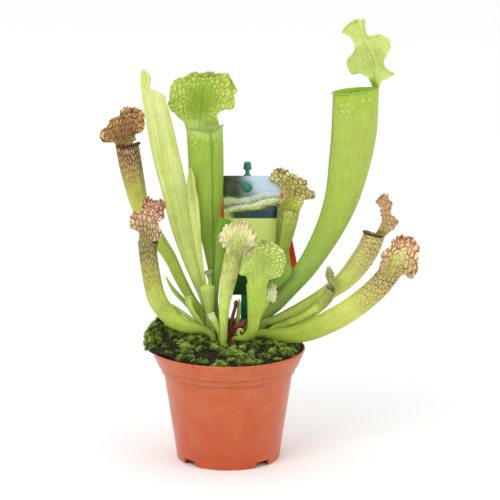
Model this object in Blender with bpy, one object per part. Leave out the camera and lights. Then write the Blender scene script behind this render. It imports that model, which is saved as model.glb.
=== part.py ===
"""Potted trumpet pitcher plant in a 12 cm nursery pot, with its moss, its plant label and stake.

Metres, +Z up. -Y is the front. The pieces are modelled round the pot's axis, with its foot at height 0.
An empty then carries them to the left, so that the origin lies under the middle of the plant's width.
Each pitcher, leaf and shoot is one closed solid that stands in its own socket in the woody rhizome.
"""

import math
from dataclasses import dataclass

import bmesh
import bpy
from mathutils import Matrix, Vector, noise

# From the pot's axis to the middle of the plant's width
PLANT_MIDDLE_X = 0.0245

# The pot, a thin moulded nursery pot with a tall collar
POT_SIDES = 48
POT_HEIGHT = 0.090
POT_RIM_RADIUS = 0.060
POT_COLLAR_HEIGHT = 0.020
POT_COLLAR_FOOT_RADIUS = 0.0525
POT_BODY_TOP_RADIUS = 0.0502
POT_FOOT_RADIUS = 0.0397
POT_WALL = 0.0014
POT_FLOOR_UNDERSIDE = 0.004
POT_BEAD = 0.0005
FOOT_NOTCHES = 4
FOOT_NOTCH_WIDTH = 0.015
FOOT_NOTCH_HEIGHT = 0.0048
FOOT_NOTCH_FIRST_ANGLE = math.radians(-48)
DRAIN_HOLES = 6
DRAIN_HOLE_RADIUS = 0.0035
DRAIN_HOLE_CIRCLE = 0.024

# What fills it
GAP = 0.0003
SUBSTRATE_TOP = 0.080
MOSS_SECTORS = 48
MOSS_FRONT_HEIGHT = 0.0875
MOSS_CROWN_HEIGHT = 0.0975
MOSS_LEFT_MOUND = 0.017
MOSS_RELIEF = 0.0016
MOSS_OVERHANG = 0.0022
MOSS_CROWN_GAP = 0.0012
MOSS_LEAF_REACH = 0.125
MOSS_RINGS = (0.0, 0.13, 0.28, 0.43, 0.58, 0.73, 0.87, 1.0)
CROWN_CENTRE = (0.003, 0.000)
CROWN_HALF_LENGTH = 0.031
CROWN_HALF_WIDTH = 0.025
CROWN_TOP = 0.0985
SOCKET_CLEARANCE = 0.00045
SOCKET_SIDES = 8

# The label and the stake that holds it
LABEL_THICKNESS = 0.0008
LABEL_FRONT = 0.0362
LABEL_BOTTOM = 0.121
LABEL_TOP = 0.217
LABEL_TOP_EDGE = (-0.008, 0.043)
LABEL_BOTTOM_EDGE = (-0.017, 0.057)
LABEL_TOP_CORNER = 0.013
LABEL_BOTTOM_CORNER = 0.003
STAKE_Y = 0.040
STAKE_WIDTH = 0.0062
STAKE_THICKNESS = 0.0022
STAKE_FOOT = (0.0117, 0.047)
STAKE_SHOULDER = (0.0150, 0.2175)
PEG_HEIGHT = 0.2085
PEG_RADIUS = 0.0016
KNOB_RADIUS = 0.0040
PLUG_NECK_RADIUS = 0.0017
PLUG_HEIGHT = 0.0062
PLUG_TOP_RADIUS = 0.0026
PLUG_FLARE_RADIUS = 0.0034

# Walls of the leaves
PITCHER_WALL = 0.0009
HOOD_THICKNESS = 0.0008
RUFFLE_ROOM = 0.0032

COLOURS = {
    "terracotta": ((0.585, 0.117, 0.045), 0.42),
    "peat": ((0.018, 0.012, 0.008), 0.95),
    "moss": ((0.030, 0.075, 0.010), 0.9),
    "rhizome": ((0.070, 0.030, 0.015), 0.85),
    "leaf_green": ((0.240, 0.420, 0.045), 0.45),
    "pale_green": ((0.600, 0.720, 0.210), 0.45),
    "red_net": ((0.270, 0.110, 0.045), 0.5),
    "cream": ((0.620, 0.560, 0.280), 0.5),
    "dry_brown": ((0.200, 0.150, 0.060), 0.8),
    "dark_red": ((0.160, 0.012, 0.022), 0.45),
    "stake_green": ((0.005, 0.180, 0.095), 0.35),
    "label_lime": ((0.560, 0.740, 0.110), 0.3),
}


@dataclass
class Leaf:
    """A pitcher, a flat leaf or a shoot.

    stations: (x, y, z, half width) from the root in the rhizome up to the mouth or the tip.
    hood: (x, y, z, reach to -across, reach to +across) along the midrib of the hood, above the mouth's back.
    """

    name: str
    colour: str
    stations: tuple
    facing: tuple = (0.0, 1.0, 0.0)
    across_scale: float = 1.0
    deep_scale: float = 0.85
    wing: float = 0.0
    rows: int = 11
    sides: int = 16
    hollow: float = 0.0
    lip: float = 0.0008
    slant: float = 0.0
    neck_angle: float = 60.0
    hood: tuple = ()
    hood_across: tuple = (1.0, 0.0, 0.0)
    hood_columns: int = 7
    hood_rows: int = 6
    hood_cup: float = 0.004
    ruffle: float = 0.0014
    ruffle_waves: float = 7.0
    ruffle_phase: float = 0.0


LEAVES = (
    Leaf(
        name="pitcher_tall_right", colour="leaf_green", rows=14, sides=20, hollow=0.72, lip=0.0012,
        stations=((0.0225, 0.0090, 0.0915, 0.0034), (0.0245, 0.0090, 0.1000, 0.0036),
                  (0.0295, 0.0095, 0.1110, 0.0042), (0.0381, 0.0100, 0.1207, 0.0058),
                  (0.0490, 0.0110, 0.1345, 0.0074), (0.0605, 0.0120, 0.1485, 0.0084),
                  (0.0727, 0.0120, 0.1685, 0.0100), (0.0822, 0.0120, 0.1880, 0.0119),
                  (0.0892, 0.0120, 0.2083, 0.0139), (0.0943, 0.0120, 0.2346, 0.0165),
                  (0.0975, 0.0120, 0.2598, 0.0179), (0.0984, 0.0120, 0.2880, 0.0180)),
        facing=(-0.94, -0.34, 0.0), across_scale=0.82, deep_scale=1.0, wing=0.0008,
        slant=-0.0025, neck_angle=20.0,
        hood=((0.1107, 0.0175, 0.2925, 0.0040, 0.0040), (0.1099, 0.0180, 0.2970, 0.0050, 0.0085),
              (0.1091, 0.0200, 0.3022, 0.0110, 0.0190), (0.1084, 0.0200, 0.3069, 0.0165, 0.0140),
              (0.1078, 0.0190, 0.3133, 0.0150, 0.0140), (0.1067, 0.0180, 0.3198, 0.0100, 0.0185),
              (0.1061, 0.0170, 0.3246, 0.0085, 0.0190), (0.1052, 0.0160, 0.3294, 0.0110, 0.0130),
              (0.1040, 0.0150, 0.3358, 0.0140, 0.0060), (0.1030, 0.0140, 0.3413, 0.0125, 0.0035),
              (0.1022, 0.0130, 0.3455, 0.0075, 0.0040)),
        hood_across=(0.87, -0.50, 0.0), hood_columns=8, hood_rows=10, hood_cup=0.002,
        ruffle=0.0022, ruffle_waves=6.0, ruffle_phase=1.0,
    ),
    Leaf(
        name="pitcher_tall_green", colour="leaf_green", rows=12, sides=21, hollow=0.60, lip=0.0014,
        stations=((-0.0080, 0.0120, 0.0915, 0.0026), (-0.0090, 0.0122, 0.1050, 0.0026),
                  (-0.0115, 0.0125, 0.1351, 0.0028), (-0.0124, 0.0125, 0.1471, 0.0034),
                  (-0.0135, 0.0125, 0.1583, 0.0046), (-0.0148, 0.0125, 0.1695, 0.0060),
                  (-0.0156, 0.0125, 0.1863, 0.0095), (-0.0166, 0.0125, 0.2030, 0.0126),
                  (-0.0170, 0.0125, 0.2220, 0.0139), (-0.0174, 0.0125, 0.2425, 0.0143),
                  (-0.0182, 0.0125, 0.2585, 0.0146)),
        facing=(0.32, -0.95, 0.0), across_scale=1.0, deep_scale=0.80, wing=0.0016,
        slant=-0.0018, neck_angle=72.0,
        hood=((-0.0232, 0.0230, 0.2635, 0.0132, 0.0130), (-0.0225, 0.0245, 0.2690, 0.0150, 0.0145),
              (-0.0222, 0.0255, 0.2735, 0.0224, 0.0185), (-0.0216, 0.0258, 0.2775, 0.0245, 0.0265),
              (-0.0211, 0.0260, 0.2825, 0.0252, 0.0271), (-0.0207, 0.0260, 0.2885, 0.0245, 0.0271),
              (-0.0200, 0.0260, 0.2938, 0.0222, 0.0245), (-0.0193, 0.0255, 0.2981, 0.0180, 0.0205),
              (-0.0185, 0.0250, 0.3010, 0.0100, 0.0125)),
        hood_across=(0.98, 0.12, 0.0), hood_columns=11, hood_rows=9, hood_cup=0.004,
        ruffle=0.0022, ruffle_waves=9.0, ruffle_phase=0.4,
    ),
    Leaf(
        name="pitcher_unopened", colour="pale_green", rows=16, sides=12,
        stations=((-0.0140, 0.0080, 0.0920, 0.0026), (-0.0155, 0.0080, 0.1080, 0.0028),
                  (-0.0189, 0.0075, 0.1259, 0.0034), (-0.0223, 0.0070, 0.1385, 0.0050),
                  (-0.0301, 0.0060, 0.1630, 0.0068), (-0.0360, 0.0050, 0.1879, 0.0088),
                  (-0.0413, 0.0040, 0.2127, 0.0097), (-0.0473, 0.0040, 0.2379, 0.0103),
                  (-0.0540, 0.0040, 0.2693, 0.0097), (-0.0577, 0.0040, 0.2857, 0.0088),
                  (-0.0618, 0.0040, 0.2906, 0.0046), (-0.0635, 0.0040, 0.2958, 0.0032),
                  (-0.0638, 0.0040, 0.3013, 0.0029), (-0.0653, 0.0040, 0.3075, 0.0007)),
        deep_scale=0.42,
    ),
    Leaf(
        name="leaf_pale_narrow", colour="pale_green", rows=11, sides=8,
        stations=((-0.0155, 0.0015, 0.0920, 0.0014), (-0.0165, 0.0010, 0.1200, 0.0014),
                  (-0.0183, 0.0000, 0.1402, 0.0014), (-0.0206, -0.0020, 0.1535, 0.0017),
                  (-0.0232, -0.0040, 0.1725, 0.0027), (-0.0251, -0.0045, 0.1900, 0.0038),
                  (-0.0269, -0.0045, 0.2066, 0.0043), (-0.0281, -0.0045, 0.2160, 0.0036),
                  (-0.0284, -0.0045, 0.2251, 0.0028), (-0.0287, -0.0045, 0.2317, 0.0007)),
        deep_scale=0.40,
    ),
    Leaf(
        name="pitcher_left_red", colour="red_net", rows=12, sides=16, hollow=0.42,
        stations=((-0.0190, 0.0030, 0.0925, 0.0026), (-0.0196, 0.0030, 0.1040, 0.0028),
                  (-0.0215, 0.0035, 0.1150, 0.0032), (-0.0292, 0.0045, 0.1267, 0.0038),
                  (-0.0370, 0.0060, 0.1412, 0.0044), (-0.0453, 0.0085, 0.1585, 0.0050),
                  (-0.0576, 0.0120, 0.1767, 0.0062), (-0.0676, 0.0140, 0.1962, 0.0070),
                  (-0.0710, 0.0150, 0.2102, 0.0080), (-0.0742, 0.0160, 0.2275, 0.0090),
                  (-0.0765, 0.0160, 0.2435, 0.0091)),
        facing=(0.40, -0.92, 0.0), across_scale=1.0, deep_scale=0.95, wing=0.0008, slant=-0.0008,
        neck_angle=62.0,
        hood=((-0.0797, 0.0252, 0.2464, 0.0089, 0.0086), (-0.0797, 0.0256, 0.2496, 0.0165, 0.0086),
              (-0.0795, 0.0258, 0.2531, 0.0190, 0.0105), (-0.0792, 0.0258, 0.2567, 0.0182, 0.0138),
              (-0.0787, 0.0256, 0.2603, 0.0148, 0.0143), (-0.0782, 0.0252, 0.2639, 0.0135, 0.0136),
              (-0.0776, 0.0246, 0.2677, 0.0085, 0.0126), (-0.0771, 0.0240, 0.2709, 0.0062, 0.0086),
              (-0.0767, 0.0232, 0.2740, 0.0030, 0.0045)),
        hood_across=(0.98, 0.18, 0.0), hood_cup=0.003, ruffle=0.0018, ruffle_waves=9.0, hood_columns=8,
        hood_rows=9,
    ),
    Leaf(
        name="pitcher_front_left", colour="red_net", rows=12, sides=16, hollow=0.42,
        stations=((-0.0110, -0.0110, 0.0925, 0.0024), (-0.0128, -0.0114, 0.1010, 0.0025),
                  (-0.0202, -0.0122, 0.1056, 0.0032), (-0.0314, -0.0150, 0.1087, 0.0052),
                  (-0.0413, -0.0170, 0.1143, 0.0065), (-0.0491, -0.0190, 0.1228, 0.0070),
                  (-0.0547, -0.0210, 0.1330, 0.0073), (-0.0576, -0.0220, 0.1442, 0.0071),
                  (-0.0596, -0.0220, 0.1562, 0.0070), (-0.0612, -0.0220, 0.1691, 0.0070),
                  (-0.0612, -0.0215, 0.1770, 0.0078)),
        facing=(0.10, 0.99, 0.0), wing=0.0010, slant=0.0010, neck_angle=66.0,
        hood=((-0.0621, -0.0290, 0.1832, 0.0116, 0.0101), (-0.0617, -0.0295, 0.1888, 0.0139, 0.0116),
              (-0.0601, -0.0290, 0.1950, 0.0147, 0.0124), (-0.0586, -0.0270, 0.2008, 0.0132, 0.0120),
              (-0.0575, -0.0235, 0.2054, 0.0098, 0.0112), (-0.0573, -0.0190, 0.2088, 0.0080, 0.0085),
              (-0.0574, -0.0145, 0.2105, 0.0050, 0.0050)),
        hood_across=(1.0, 0.05, 0.0), hood_cup=0.005, ruffle=0.0018, ruffle_waves=8.0, ruffle_phase=0.8,
        hood_columns=8, hood_rows=7,
    ),
    Leaf(
        name="pitcher_right_dark_lip", colour="red_net", rows=12, sides=16, hollow=0.42, lip=0.0014,
        stations=((0.0235, 0.0010, 0.0925, 0.0022), (0.0245, 0.0012, 0.1010, 0.0024),
                  (0.0285, 0.0018, 0.1070, 0.0030), (0.0365, 0.0030, 0.1092, 0.0038),
                  (0.0509, 0.0065, 0.1149, 0.0046), (0.0667, 0.0115, 0.1225, 0.0052),
                  (0.0792, 0.0160, 0.1290, 0.0064), (0.0923, 0.0170, 0.1390, 0.0078),
                  (0.1028, 0.0175, 0.1519, 0.0088), (0.1097, 0.0180, 0.1633, 0.0088),
                  (0.1140, 0.0180, 0.1745, 0.0084)),
        facing=(-0.90, -0.30, 0.30), across_scale=0.95, deep_scale=1.0, wing=0.0008, slant=0.0010,
        neck_angle=44.0,
        hood=((0.1214, 0.0210, 0.1778, 0.0035, 0.0062), (0.1222, 0.0215, 0.1820, 0.0042, 0.0110),
              (0.1229, 0.0215, 0.1868, 0.0046, 0.0105), (0.1229, 0.0210, 0.1918, 0.0052, 0.0060),
              (0.1224, 0.0205, 0.1968, 0.0066, 0.0066), (0.1219, 0.0200, 0.2010, 0.0070, 0.0075),
              (0.1215, 0.0195, 0.2043, 0.0035, 0.0040)),
        hood_across=(0.85, -0.52, 0.0), hood_cup=0.001, ruffle=0.0018, ruffle_waves=7.0, hood_columns=7,
        hood_rows=7,
    ),
    Leaf(
        name="pitcher_right_red_net", colour="red_net", rows=12, sides=16, hollow=0.42,
        stations=((0.0185, -0.0085, 0.0920, 0.0026), (0.0192, -0.0088, 0.0990, 0.0028),
                  (0.0245, -0.0095, 0.1018, 0.0034), (0.0333, -0.0100, 0.1014, 0.0044),
                  (0.0480, -0.0110, 0.1010, 0.0066), (0.0631, -0.0120, 0.1050, 0.0084),
                  (0.0847, -0.0135, 0.1157, 0.0092), (0.0989, -0.0145, 0.1253, 0.0091),
                  (0.1155, -0.0150, 0.1400, 0.0090), (0.1235, -0.0150, 0.1500, 0.0086)),
        facing=(-0.20, 0.95, 0.20), wing=0.0014, slant=0.0010, neck_angle=66.0,
        hood=((0.1268, -0.0235, 0.1580, 0.0105, 0.0135), (0.1301, -0.0240, 0.1648, 0.0124, 0.0172),
              (0.1328, -0.0230, 0.1704, 0.0128, 0.0170), (0.1355, -0.0205, 0.1750, 0.0105, 0.0140),
              (0.1375, -0.0160, 0.1783, 0.0070, 0.0095), (0.1385, -0.0110, 0.1800, 0.0040, 0.0050)),
        hood_across=(0.89, 0.0, -0.46), hood_cup=0.005, ruffle=0.0018, ruffle_waves=9.0, hood_columns=8,
        hood_rows=7,
    ),
    Leaf(
        name="pitcher_dying", colour="dry_brown", rows=10, sides=10, hollow=0.22, lip=0.0,
        stations=((0.0285, -0.0035, 0.0925, 0.0018), (0.0290, -0.0035, 0.0985, 0.0020),
                  (0.0335, -0.0036, 0.1035, 0.0022), (0.0462, -0.0032, 0.1080, 0.0030),
                  (0.0578, -0.0020, 0.1125, 0.0036), (0.0675, -0.0005, 0.1182, 0.0044),
                  (0.0761, 0.0010, 0.1268, 0.0052), (0.0800, 0.0010, 0.1345, 0.0048)),
        facing=(-0.90, -0.30, 0.0), slant=0.0006, neck_angle=58.0,
        hood=((0.0822, 0.0030, 0.1405, 0.0027, 0.0031), (0.0814, 0.0030, 0.1445, 0.0035, 0.0027),
              (0.0799, 0.0025, 0.1486, 0.0031, 0.0023), (0.0787, 0.0020, 0.1516, 0.0015, 0.0015)),
        hood_across=(0.80, -0.60, 0.0), hood_columns=5, hood_rows=4, hood_cup=0.001,
        ruffle=0.0008, ruffle_waves=4.0,
    ),
    Leaf(
        name="pitcher_front_cream", colour="cream", rows=11, sides=16, hollow=0.42,
        stations=((-0.0035, -0.0185, 0.0920, 0.0027), (-0.0034, -0.0195, 0.1060, 0.0030),
                  (-0.0028, -0.0220, 0.1269, 0.0042), (-0.0003, -0.0230, 0.1436, 0.0058),
                  (0.0022, -0.0240, 0.1564, 0.0067), (0.0047, -0.0240, 0.1690, 0.0071)),
        facing=(-0.10, 0.99, 0.0), wing=0.0010, slant=0.0010, neck_angle=68.0,
        hood=((0.0051, -0.0315, 0.1735, 0.0100, 0.0115), (0.0067, -0.0320, 0.1785, 0.0125, 0.0140),
              (0.0082, -0.0310, 0.1832, 0.0150, 0.0125), (0.0094, -0.0285, 0.1878, 0.0130, 0.0110),
              (0.0099, -0.0245, 0.1914, 0.0090, 0.0082), (0.0103, -0.0195, 0.1933, 0.0050, 0.0048)),
        hood_across=(0.97, 0.0, -0.20), hood_cup=0.006, ruffle=0.0018, ruffle_waves=9.0, ruffle_phase=0.5,
        hood_columns=8, hood_rows=6,
    ),
    Leaf(
        name="pitcher_front_green", colour="leaf_green", rows=13, sides=16, hollow=0.40,
        stations=((0.0040, -0.0125, 0.0920, 0.0021), (0.0046, -0.0138, 0.0980, 0.0021),
                  (0.0075, -0.0180, 0.1000, 0.0022), (0.0131, -0.0230, 0.1018, 0.0030),
                  (0.0186, -0.0285, 0.1095, 0.0040), (0.0205, -0.0310, 0.1225, 0.0055),
                  (0.0222, -0.0320, 0.1342, 0.0075), (0.0222, -0.0320, 0.1455, 0.0080)),
        facing=(-0.10, 0.99, 0.0), wing=0.0008, slant=0.0010, neck_angle=70.0,
        hood=((0.0223, -0.0400, 0.1527, 0.0100, 0.0116), (0.0235, -0.0410, 0.1585, 0.0135, 0.0200),
              (0.0250, -0.0408, 0.1647, 0.0132, 0.0205), (0.0261, -0.0400, 0.1707, 0.0120, 0.0178),
              (0.0270, -0.0380, 0.1758, 0.0105, 0.0140), (0.0277, -0.0350, 0.1790, 0.0080, 0.0095),
              (0.0277, -0.0320, 0.1803, 0.0050, 0.0050)),
        hood_across=(1.0, 0.0, 0.0), hood_cup=0.005, ruffle=0.0013, ruffle_waves=7.0, hood_columns=8,
        hood_rows=7,
    ),
    Leaf(
        name="pitcher_back_olive", colour="red_net", rows=11, sides=16, hollow=0.42, lip=0.0012,
        stations=((0.0170, 0.0160, 0.0925, 0.0022), (0.0185, 0.0175, 0.1020, 0.0023),
                  (0.0237, 0.0200, 0.1145, 0.0027), (0.0291, 0.0220, 0.1285, 0.0034),
                  (0.0358, 0.0235, 0.1441, 0.0045), (0.0405, 0.0250, 0.1577, 0.0056),
                  (0.0432, 0.0255, 0.1688, 0.0068), (0.0455, 0.0260, 0.1818, 0.0084),
                  (0.0470, 0.0260, 0.1925, 0.0091)),
        facing=(-0.20, -0.97, 0.0), deep_scale=0.80, wing=0.0012, slant=-0.0005, neck_angle=66.0,
        hood=((0.0491, 0.0340, 0.1965, 0.0092, 0.0097), (0.0487, 0.0350, 0.2012, 0.0086, 0.0120),
              (0.0479, 0.0355, 0.2057, 0.0086, 0.0165), (0.0471, 0.0360, 0.2104, 0.0100, 0.0150),
              (0.0453, 0.0355, 0.2148, 0.0125, 0.0135), (0.0437, 0.0350, 0.2186, 0.0100, 0.0085),
              (0.0423, 0.0340, 0.2215, 0.0050, 0.0045)),
        hood_across=(0.96, 0.0, -0.26), hood_cup=0.002, ruffle=0.0018, ruffle_waves=9.0, hood_columns=8,
        hood_rows=7,
    ),
    Leaf(
        name="pitcher_young_green", colour="leaf_green", rows=10, sides=10,
        stations=((-0.0070, 0.0035, 0.0920, 0.0018), (-0.0085, 0.0035, 0.1080, 0.0018),
                  (-0.0098, 0.0032, 0.1228, 0.0019), (-0.0094, 0.0028, 0.1346, 0.0023),
                  (-0.0088, 0.0022, 0.1423, 0.0026), (-0.0074, 0.0015, 0.1532, 0.0028),
                  (-0.0053, 0.0010, 0.1674, 0.0030), (-0.0042, 0.0008, 0.1760, 0.0040),
                  (-0.0036, 0.0005, 0.1825, 0.0062), (-0.0036, 0.0000, 0.1875, 0.0048),
                  (-0.0040, 0.0000, 0.1900, 0.0010)),
        deep_scale=0.8,
    ),
    Leaf(
        name="pitcher_frilled_small", colour="pale_green", rows=8, sides=12, hollow=0.45, lip=0.0,
        stations=((0.0140, -0.0045, 0.0925, 0.0018), (0.0155, -0.0055, 0.1000, 0.0018),
                  (0.0205, -0.0085, 0.1090, 0.0020), (0.0247, -0.0100, 0.1180, 0.0026),
                  (0.0275, -0.0105, 0.1250, 0.0036), (0.0285, -0.0105, 0.1300, 0.0042)),
        facing=(-0.60, 0.80, 0.0), slant=0.0005, neck_angle=62.0,
        hood=((0.0309, -0.0145, 0.1345, 0.0032, 0.0039), (0.0324, -0.0145, 0.1380, 0.0027, 0.0054),
              (0.0336, -0.0138, 0.1412, 0.0028, 0.0036), (0.0341, -0.0128, 0.1434, 0.0020, 0.0020)),
        hood_across=(0.95, 0.30, 0.0), hood_columns=5, hood_rows=4, hood_cup=0.002,
        ruffle=0.0006, ruffle_waves=5.0,
    ),
    Leaf(
        name="pitcher_round_hood", colour="pale_green", rows=10, sides=10,
        stations=((0.0135, 0.0080, 0.0925, 0.0018), (0.0155, 0.0085, 0.1030, 0.0018),
                  (0.0215, 0.0080, 0.1120, 0.0020), (0.0275, 0.0055, 0.1240, 0.0027),
                  (0.0330, 0.0040, 0.1340, 0.0036), (0.0400, 0.0030, 0.1420, 0.0048),
                  (0.0435, 0.0025, 0.1480, 0.0060), (0.0450, 0.0025, 0.1525, 0.0044),
                  (0.0452, 0.0025, 0.1550, 0.0010)),
        deep_scale=0.7,
    ),
    Leaf(
        name="bud_green", colour="leaf_green", rows=8, sides=10,
        stations=((-0.0114, -0.0045, 0.0925, 0.0020), (-0.0121, -0.0053, 0.1040, 0.0020),
                  (-0.0135, -0.0070, 0.1156, 0.0022), (-0.0147, -0.0080, 0.1270, 0.0034),
                  (-0.0151, -0.0080, 0.1325, 0.0044), (-0.0153, -0.0080, 0.1370, 0.0034),
                  (-0.0154, -0.0080, 0.1390, 0.0009)),
        deep_scale=0.8,
    ),
    Leaf(
        name="pitcher_tiny_left", colour="leaf_green", rows=8, sides=10,
        stations=((-0.0165, -0.0045, 0.0925, 0.0015), (-0.0175, -0.0060, 0.1030, 0.0016),
                  (-0.0205, -0.0085, 0.1090, 0.0019), (-0.0263, -0.0110, 0.1177, 0.0022),
                  (-0.0298, -0.0120, 0.1255, 0.0024), (-0.0302, -0.0120, 0.1285, 0.0029),
                  (-0.0302, -0.0120, 0.1310, 0.0026), (-0.0301, -0.0120, 0.1320, 0.0008)),
        deep_scale=0.85,
    ),
    Leaf(
        name="leaf_narrow_left", colour="leaf_green", rows=8, sides=8,
        stations=((-0.0225, 0.0095, 0.0925, 0.0013), (-0.0235, 0.0095, 0.1050, 0.0014),
                  (-0.0270, 0.0095, 0.1140, 0.0018), (-0.0338, 0.0115, 0.1215, 0.0019),
                  (-0.0425, 0.0135, 0.1305, 0.0018), (-0.0485, 0.0140, 0.1410, 0.0006)),
        deep_scale=0.6,
    ),
    Leaf(
        name="leaf_short_left", colour="leaf_green", rows=7, sides=8,
        stations=((-0.0215, -0.0030, 0.0925, 0.0013), (-0.0225, -0.0040, 0.1030, 0.0014),
                  (-0.0275, -0.0055, 0.1112, 0.0016), (-0.0373, -0.0060, 0.1188, 0.0017),
                  (-0.0448, -0.0060, 0.1248, 0.0006)),
        deep_scale=0.6,
    ),
    Leaf(
        name="pitcher_cut_short", colour="cream", rows=7, sides=10,
        stations=((-0.0060, -0.0125, 0.0920, 0.0015), (-0.0062, -0.0150, 0.1010, 0.0015),
                  (-0.0074, -0.0175, 0.1070, 0.0016), (-0.0097, -0.0180, 0.1141, 0.0020),
                  (-0.0112, -0.0180, 0.1200, 0.0025), (-0.0114, -0.0180, 0.1216, 0.0024)),
        deep_scale=0.85,
    ),
    Leaf(
        name="leaf_dried_tip", colour="dry_brown", rows=9, sides=8,
        stations=((-0.0114, 0.0008, 0.0920, 0.0012), (-0.0120, 0.0012, 0.1100, 0.0013),
                  (-0.0133, 0.0025, 0.1253, 0.0015), (-0.0137, 0.0020, 0.1357, 0.0016),
                  (-0.0141, 0.0020, 0.1437, 0.0015), (-0.0155, 0.0015, 0.1470, 0.0027),
                  (-0.0175, 0.0010, 0.1485, 0.0010)),
        deep_scale=0.75,
    ),
    Leaf(
        name="shoot_red", colour="dark_red", rows=8, sides=8,
        stations=((0.0015, -0.0040, 0.0925, 0.0012), (0.0020, -0.0045, 0.1040, 0.0012),
                  (0.0038, -0.0050, 0.1165, 0.0014), (0.0060, -0.0050, 0.1245, 0.0014),
                  (0.0067, -0.0052, 0.1285, 0.0017), (0.0068, -0.0052, 0.1305, 0.0007)),
        deep_scale=0.9,
    ),
    Leaf(
        name="shoot_green", colour="leaf_green", rows=7, sides=8,
        stations=((0.0062, -0.0020, 0.0925, 0.0012), (0.0068, -0.0020, 0.1060, 0.0013),
                  (0.0083, -0.0022, 0.1170, 0.0016), (0.0088, -0.0022, 0.1230, 0.0013),
                  (0.0086, -0.0022, 0.1275, 0.0006)),
        deep_scale=0.8,
    ),
    Leaf(
        name="bud_dark_red", colour="dark_red", rows=8, sides=10,
        stations=((0.0050, -0.0070, 0.0925, 0.0015), (0.0048, -0.0072, 0.1010, 0.0019),
                  (0.0062, -0.0076, 0.1070, 0.0023), (0.0092, -0.0080, 0.1105, 0.0026),
                  (0.0120, -0.0080, 0.1130, 0.0022), (0.0138, -0.0080, 0.1145, 0.0007)),
        deep_scale=0.85,
    ),
    Leaf(
        name="shoot_pale_hooked", colour="pale_green", rows=9, sides=8,
        stations=((0.0095, -0.0125, 0.0925, 0.0012), (0.0090, -0.0125, 0.0990, 0.0012),
                  (0.0080, -0.0125, 0.1035, 0.0012), (0.0088, -0.0128, 0.1058, 0.0012),
                  (0.0106, -0.0130, 0.1055, 0.0012), (0.0115, -0.0130, 0.1035, 0.0007)),
        deep_scale=0.9,
    ),
)


def clear_scene():
    """Remove every object."""
    for old in list(bpy.data.objects):
        bpy.data.objects.remove(old, do_unlink=True)


def material(colour):
    """Return the Principled material of a named colour."""
    made = bpy.data.materials.get(colour)
    if made:
        return made
    base, roughness = COLOURS[colour]
    made = bpy.data.materials.new(colour)
    made.use_nodes = True
    shader = made.node_tree.nodes["Principled BSDF"]
    shader.inputs["Base Color"].default_value = (*base, 1.0)
    shader.inputs["Roughness"].default_value = roughness
    shader.inputs["Metallic"].default_value = 0.0
    return made


def new_object(name, mesh_builder, colour, smooth_angle=math.radians(50)):
    """Make an object from a bmesh, smooth it and give it its own material."""
    mesh = bpy.data.meshes.new(name)
    mesh_builder.to_mesh(mesh)
    mesh_builder.free()
    made = bpy.data.objects.new(name, mesh)
    bpy.context.collection.objects.link(made)
    own = material(colour).copy()
    own.name = name + "_surface"
    mesh.materials.append(own)
    mesh.shade_smooth()
    mesh.set_sharp_from_angle(angle=smooth_angle)
    return made


def lathe(profile, sides):
    """Turn (radius, height) points round +Z into a closed bmesh."""
    built = bmesh.new()
    ring = [built.verts.new((radius, 0.0, height)) for radius, height in profile]
    edges = [built.edges.new(pair) for pair in zip(ring, ring[1:])]
    if profile[0][0] > 0.0 and profile[-1][0] > 0.0:
        edges.append(built.edges.new((ring[-1], ring[0])))
    bmesh.ops.spin(
        built, geom=ring + edges, cent=(0, 0, 0), axis=(0, 0, 1), angle=2 * math.pi, steps=sides,
        use_merge=True,
    )
    bmesh.ops.remove_doubles(built, verts=built.verts[:], dist=1e-6)
    bmesh.ops.recalc_face_normals(built, faces=built.faces[:])
    return built


def cut(target, cutters, operation="DIFFERENCE"):
    """Cut or join with the cutters one after another, apply it and remove them."""
    for cutter in cutters:
        modifier = target.modifiers.new("cut", "BOOLEAN")
        modifier.operation = operation
        modifier.solver = "EXACT"
        modifier.object = cutter
    depsgraph = bpy.context.evaluated_depsgraph_get()
    result = bpy.data.meshes.new_from_object(target.evaluated_get(depsgraph))
    target.modifiers.clear()
    target.data = result
    for cutter in cutters:
        bpy.data.objects.remove(cutter, do_unlink=True)


def cutter_from(mesh_builder, name="cutter"):
    """Make a hidden helper object for a Boolean."""
    mesh = bpy.data.meshes.new(name)
    mesh_builder.to_mesh(mesh)
    mesh_builder.free()
    made = bpy.data.objects.new(name, mesh)
    made.hide_render = True
    made.display_type = "WIRE"
    bpy.context.collection.objects.link(made)
    return made


def pot_inner_radius(height):
    """Inner radius of the pot's wall at a height."""
    collar_foot = POT_HEIGHT - POT_COLLAR_HEIGHT
    if height < collar_foot:
        outer = POT_FOOT_RADIUS + (POT_BODY_TOP_RADIUS - POT_FOOT_RADIUS) * height / collar_foot
        return outer - POT_WALL
    rise = (height - collar_foot) / POT_COLLAR_HEIGHT
    return POT_COLLAR_FOOT_RADIUS + (POT_RIM_RADIUS - POT_COLLAR_FOOT_RADIUS) * rise - POT_WALL


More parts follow.
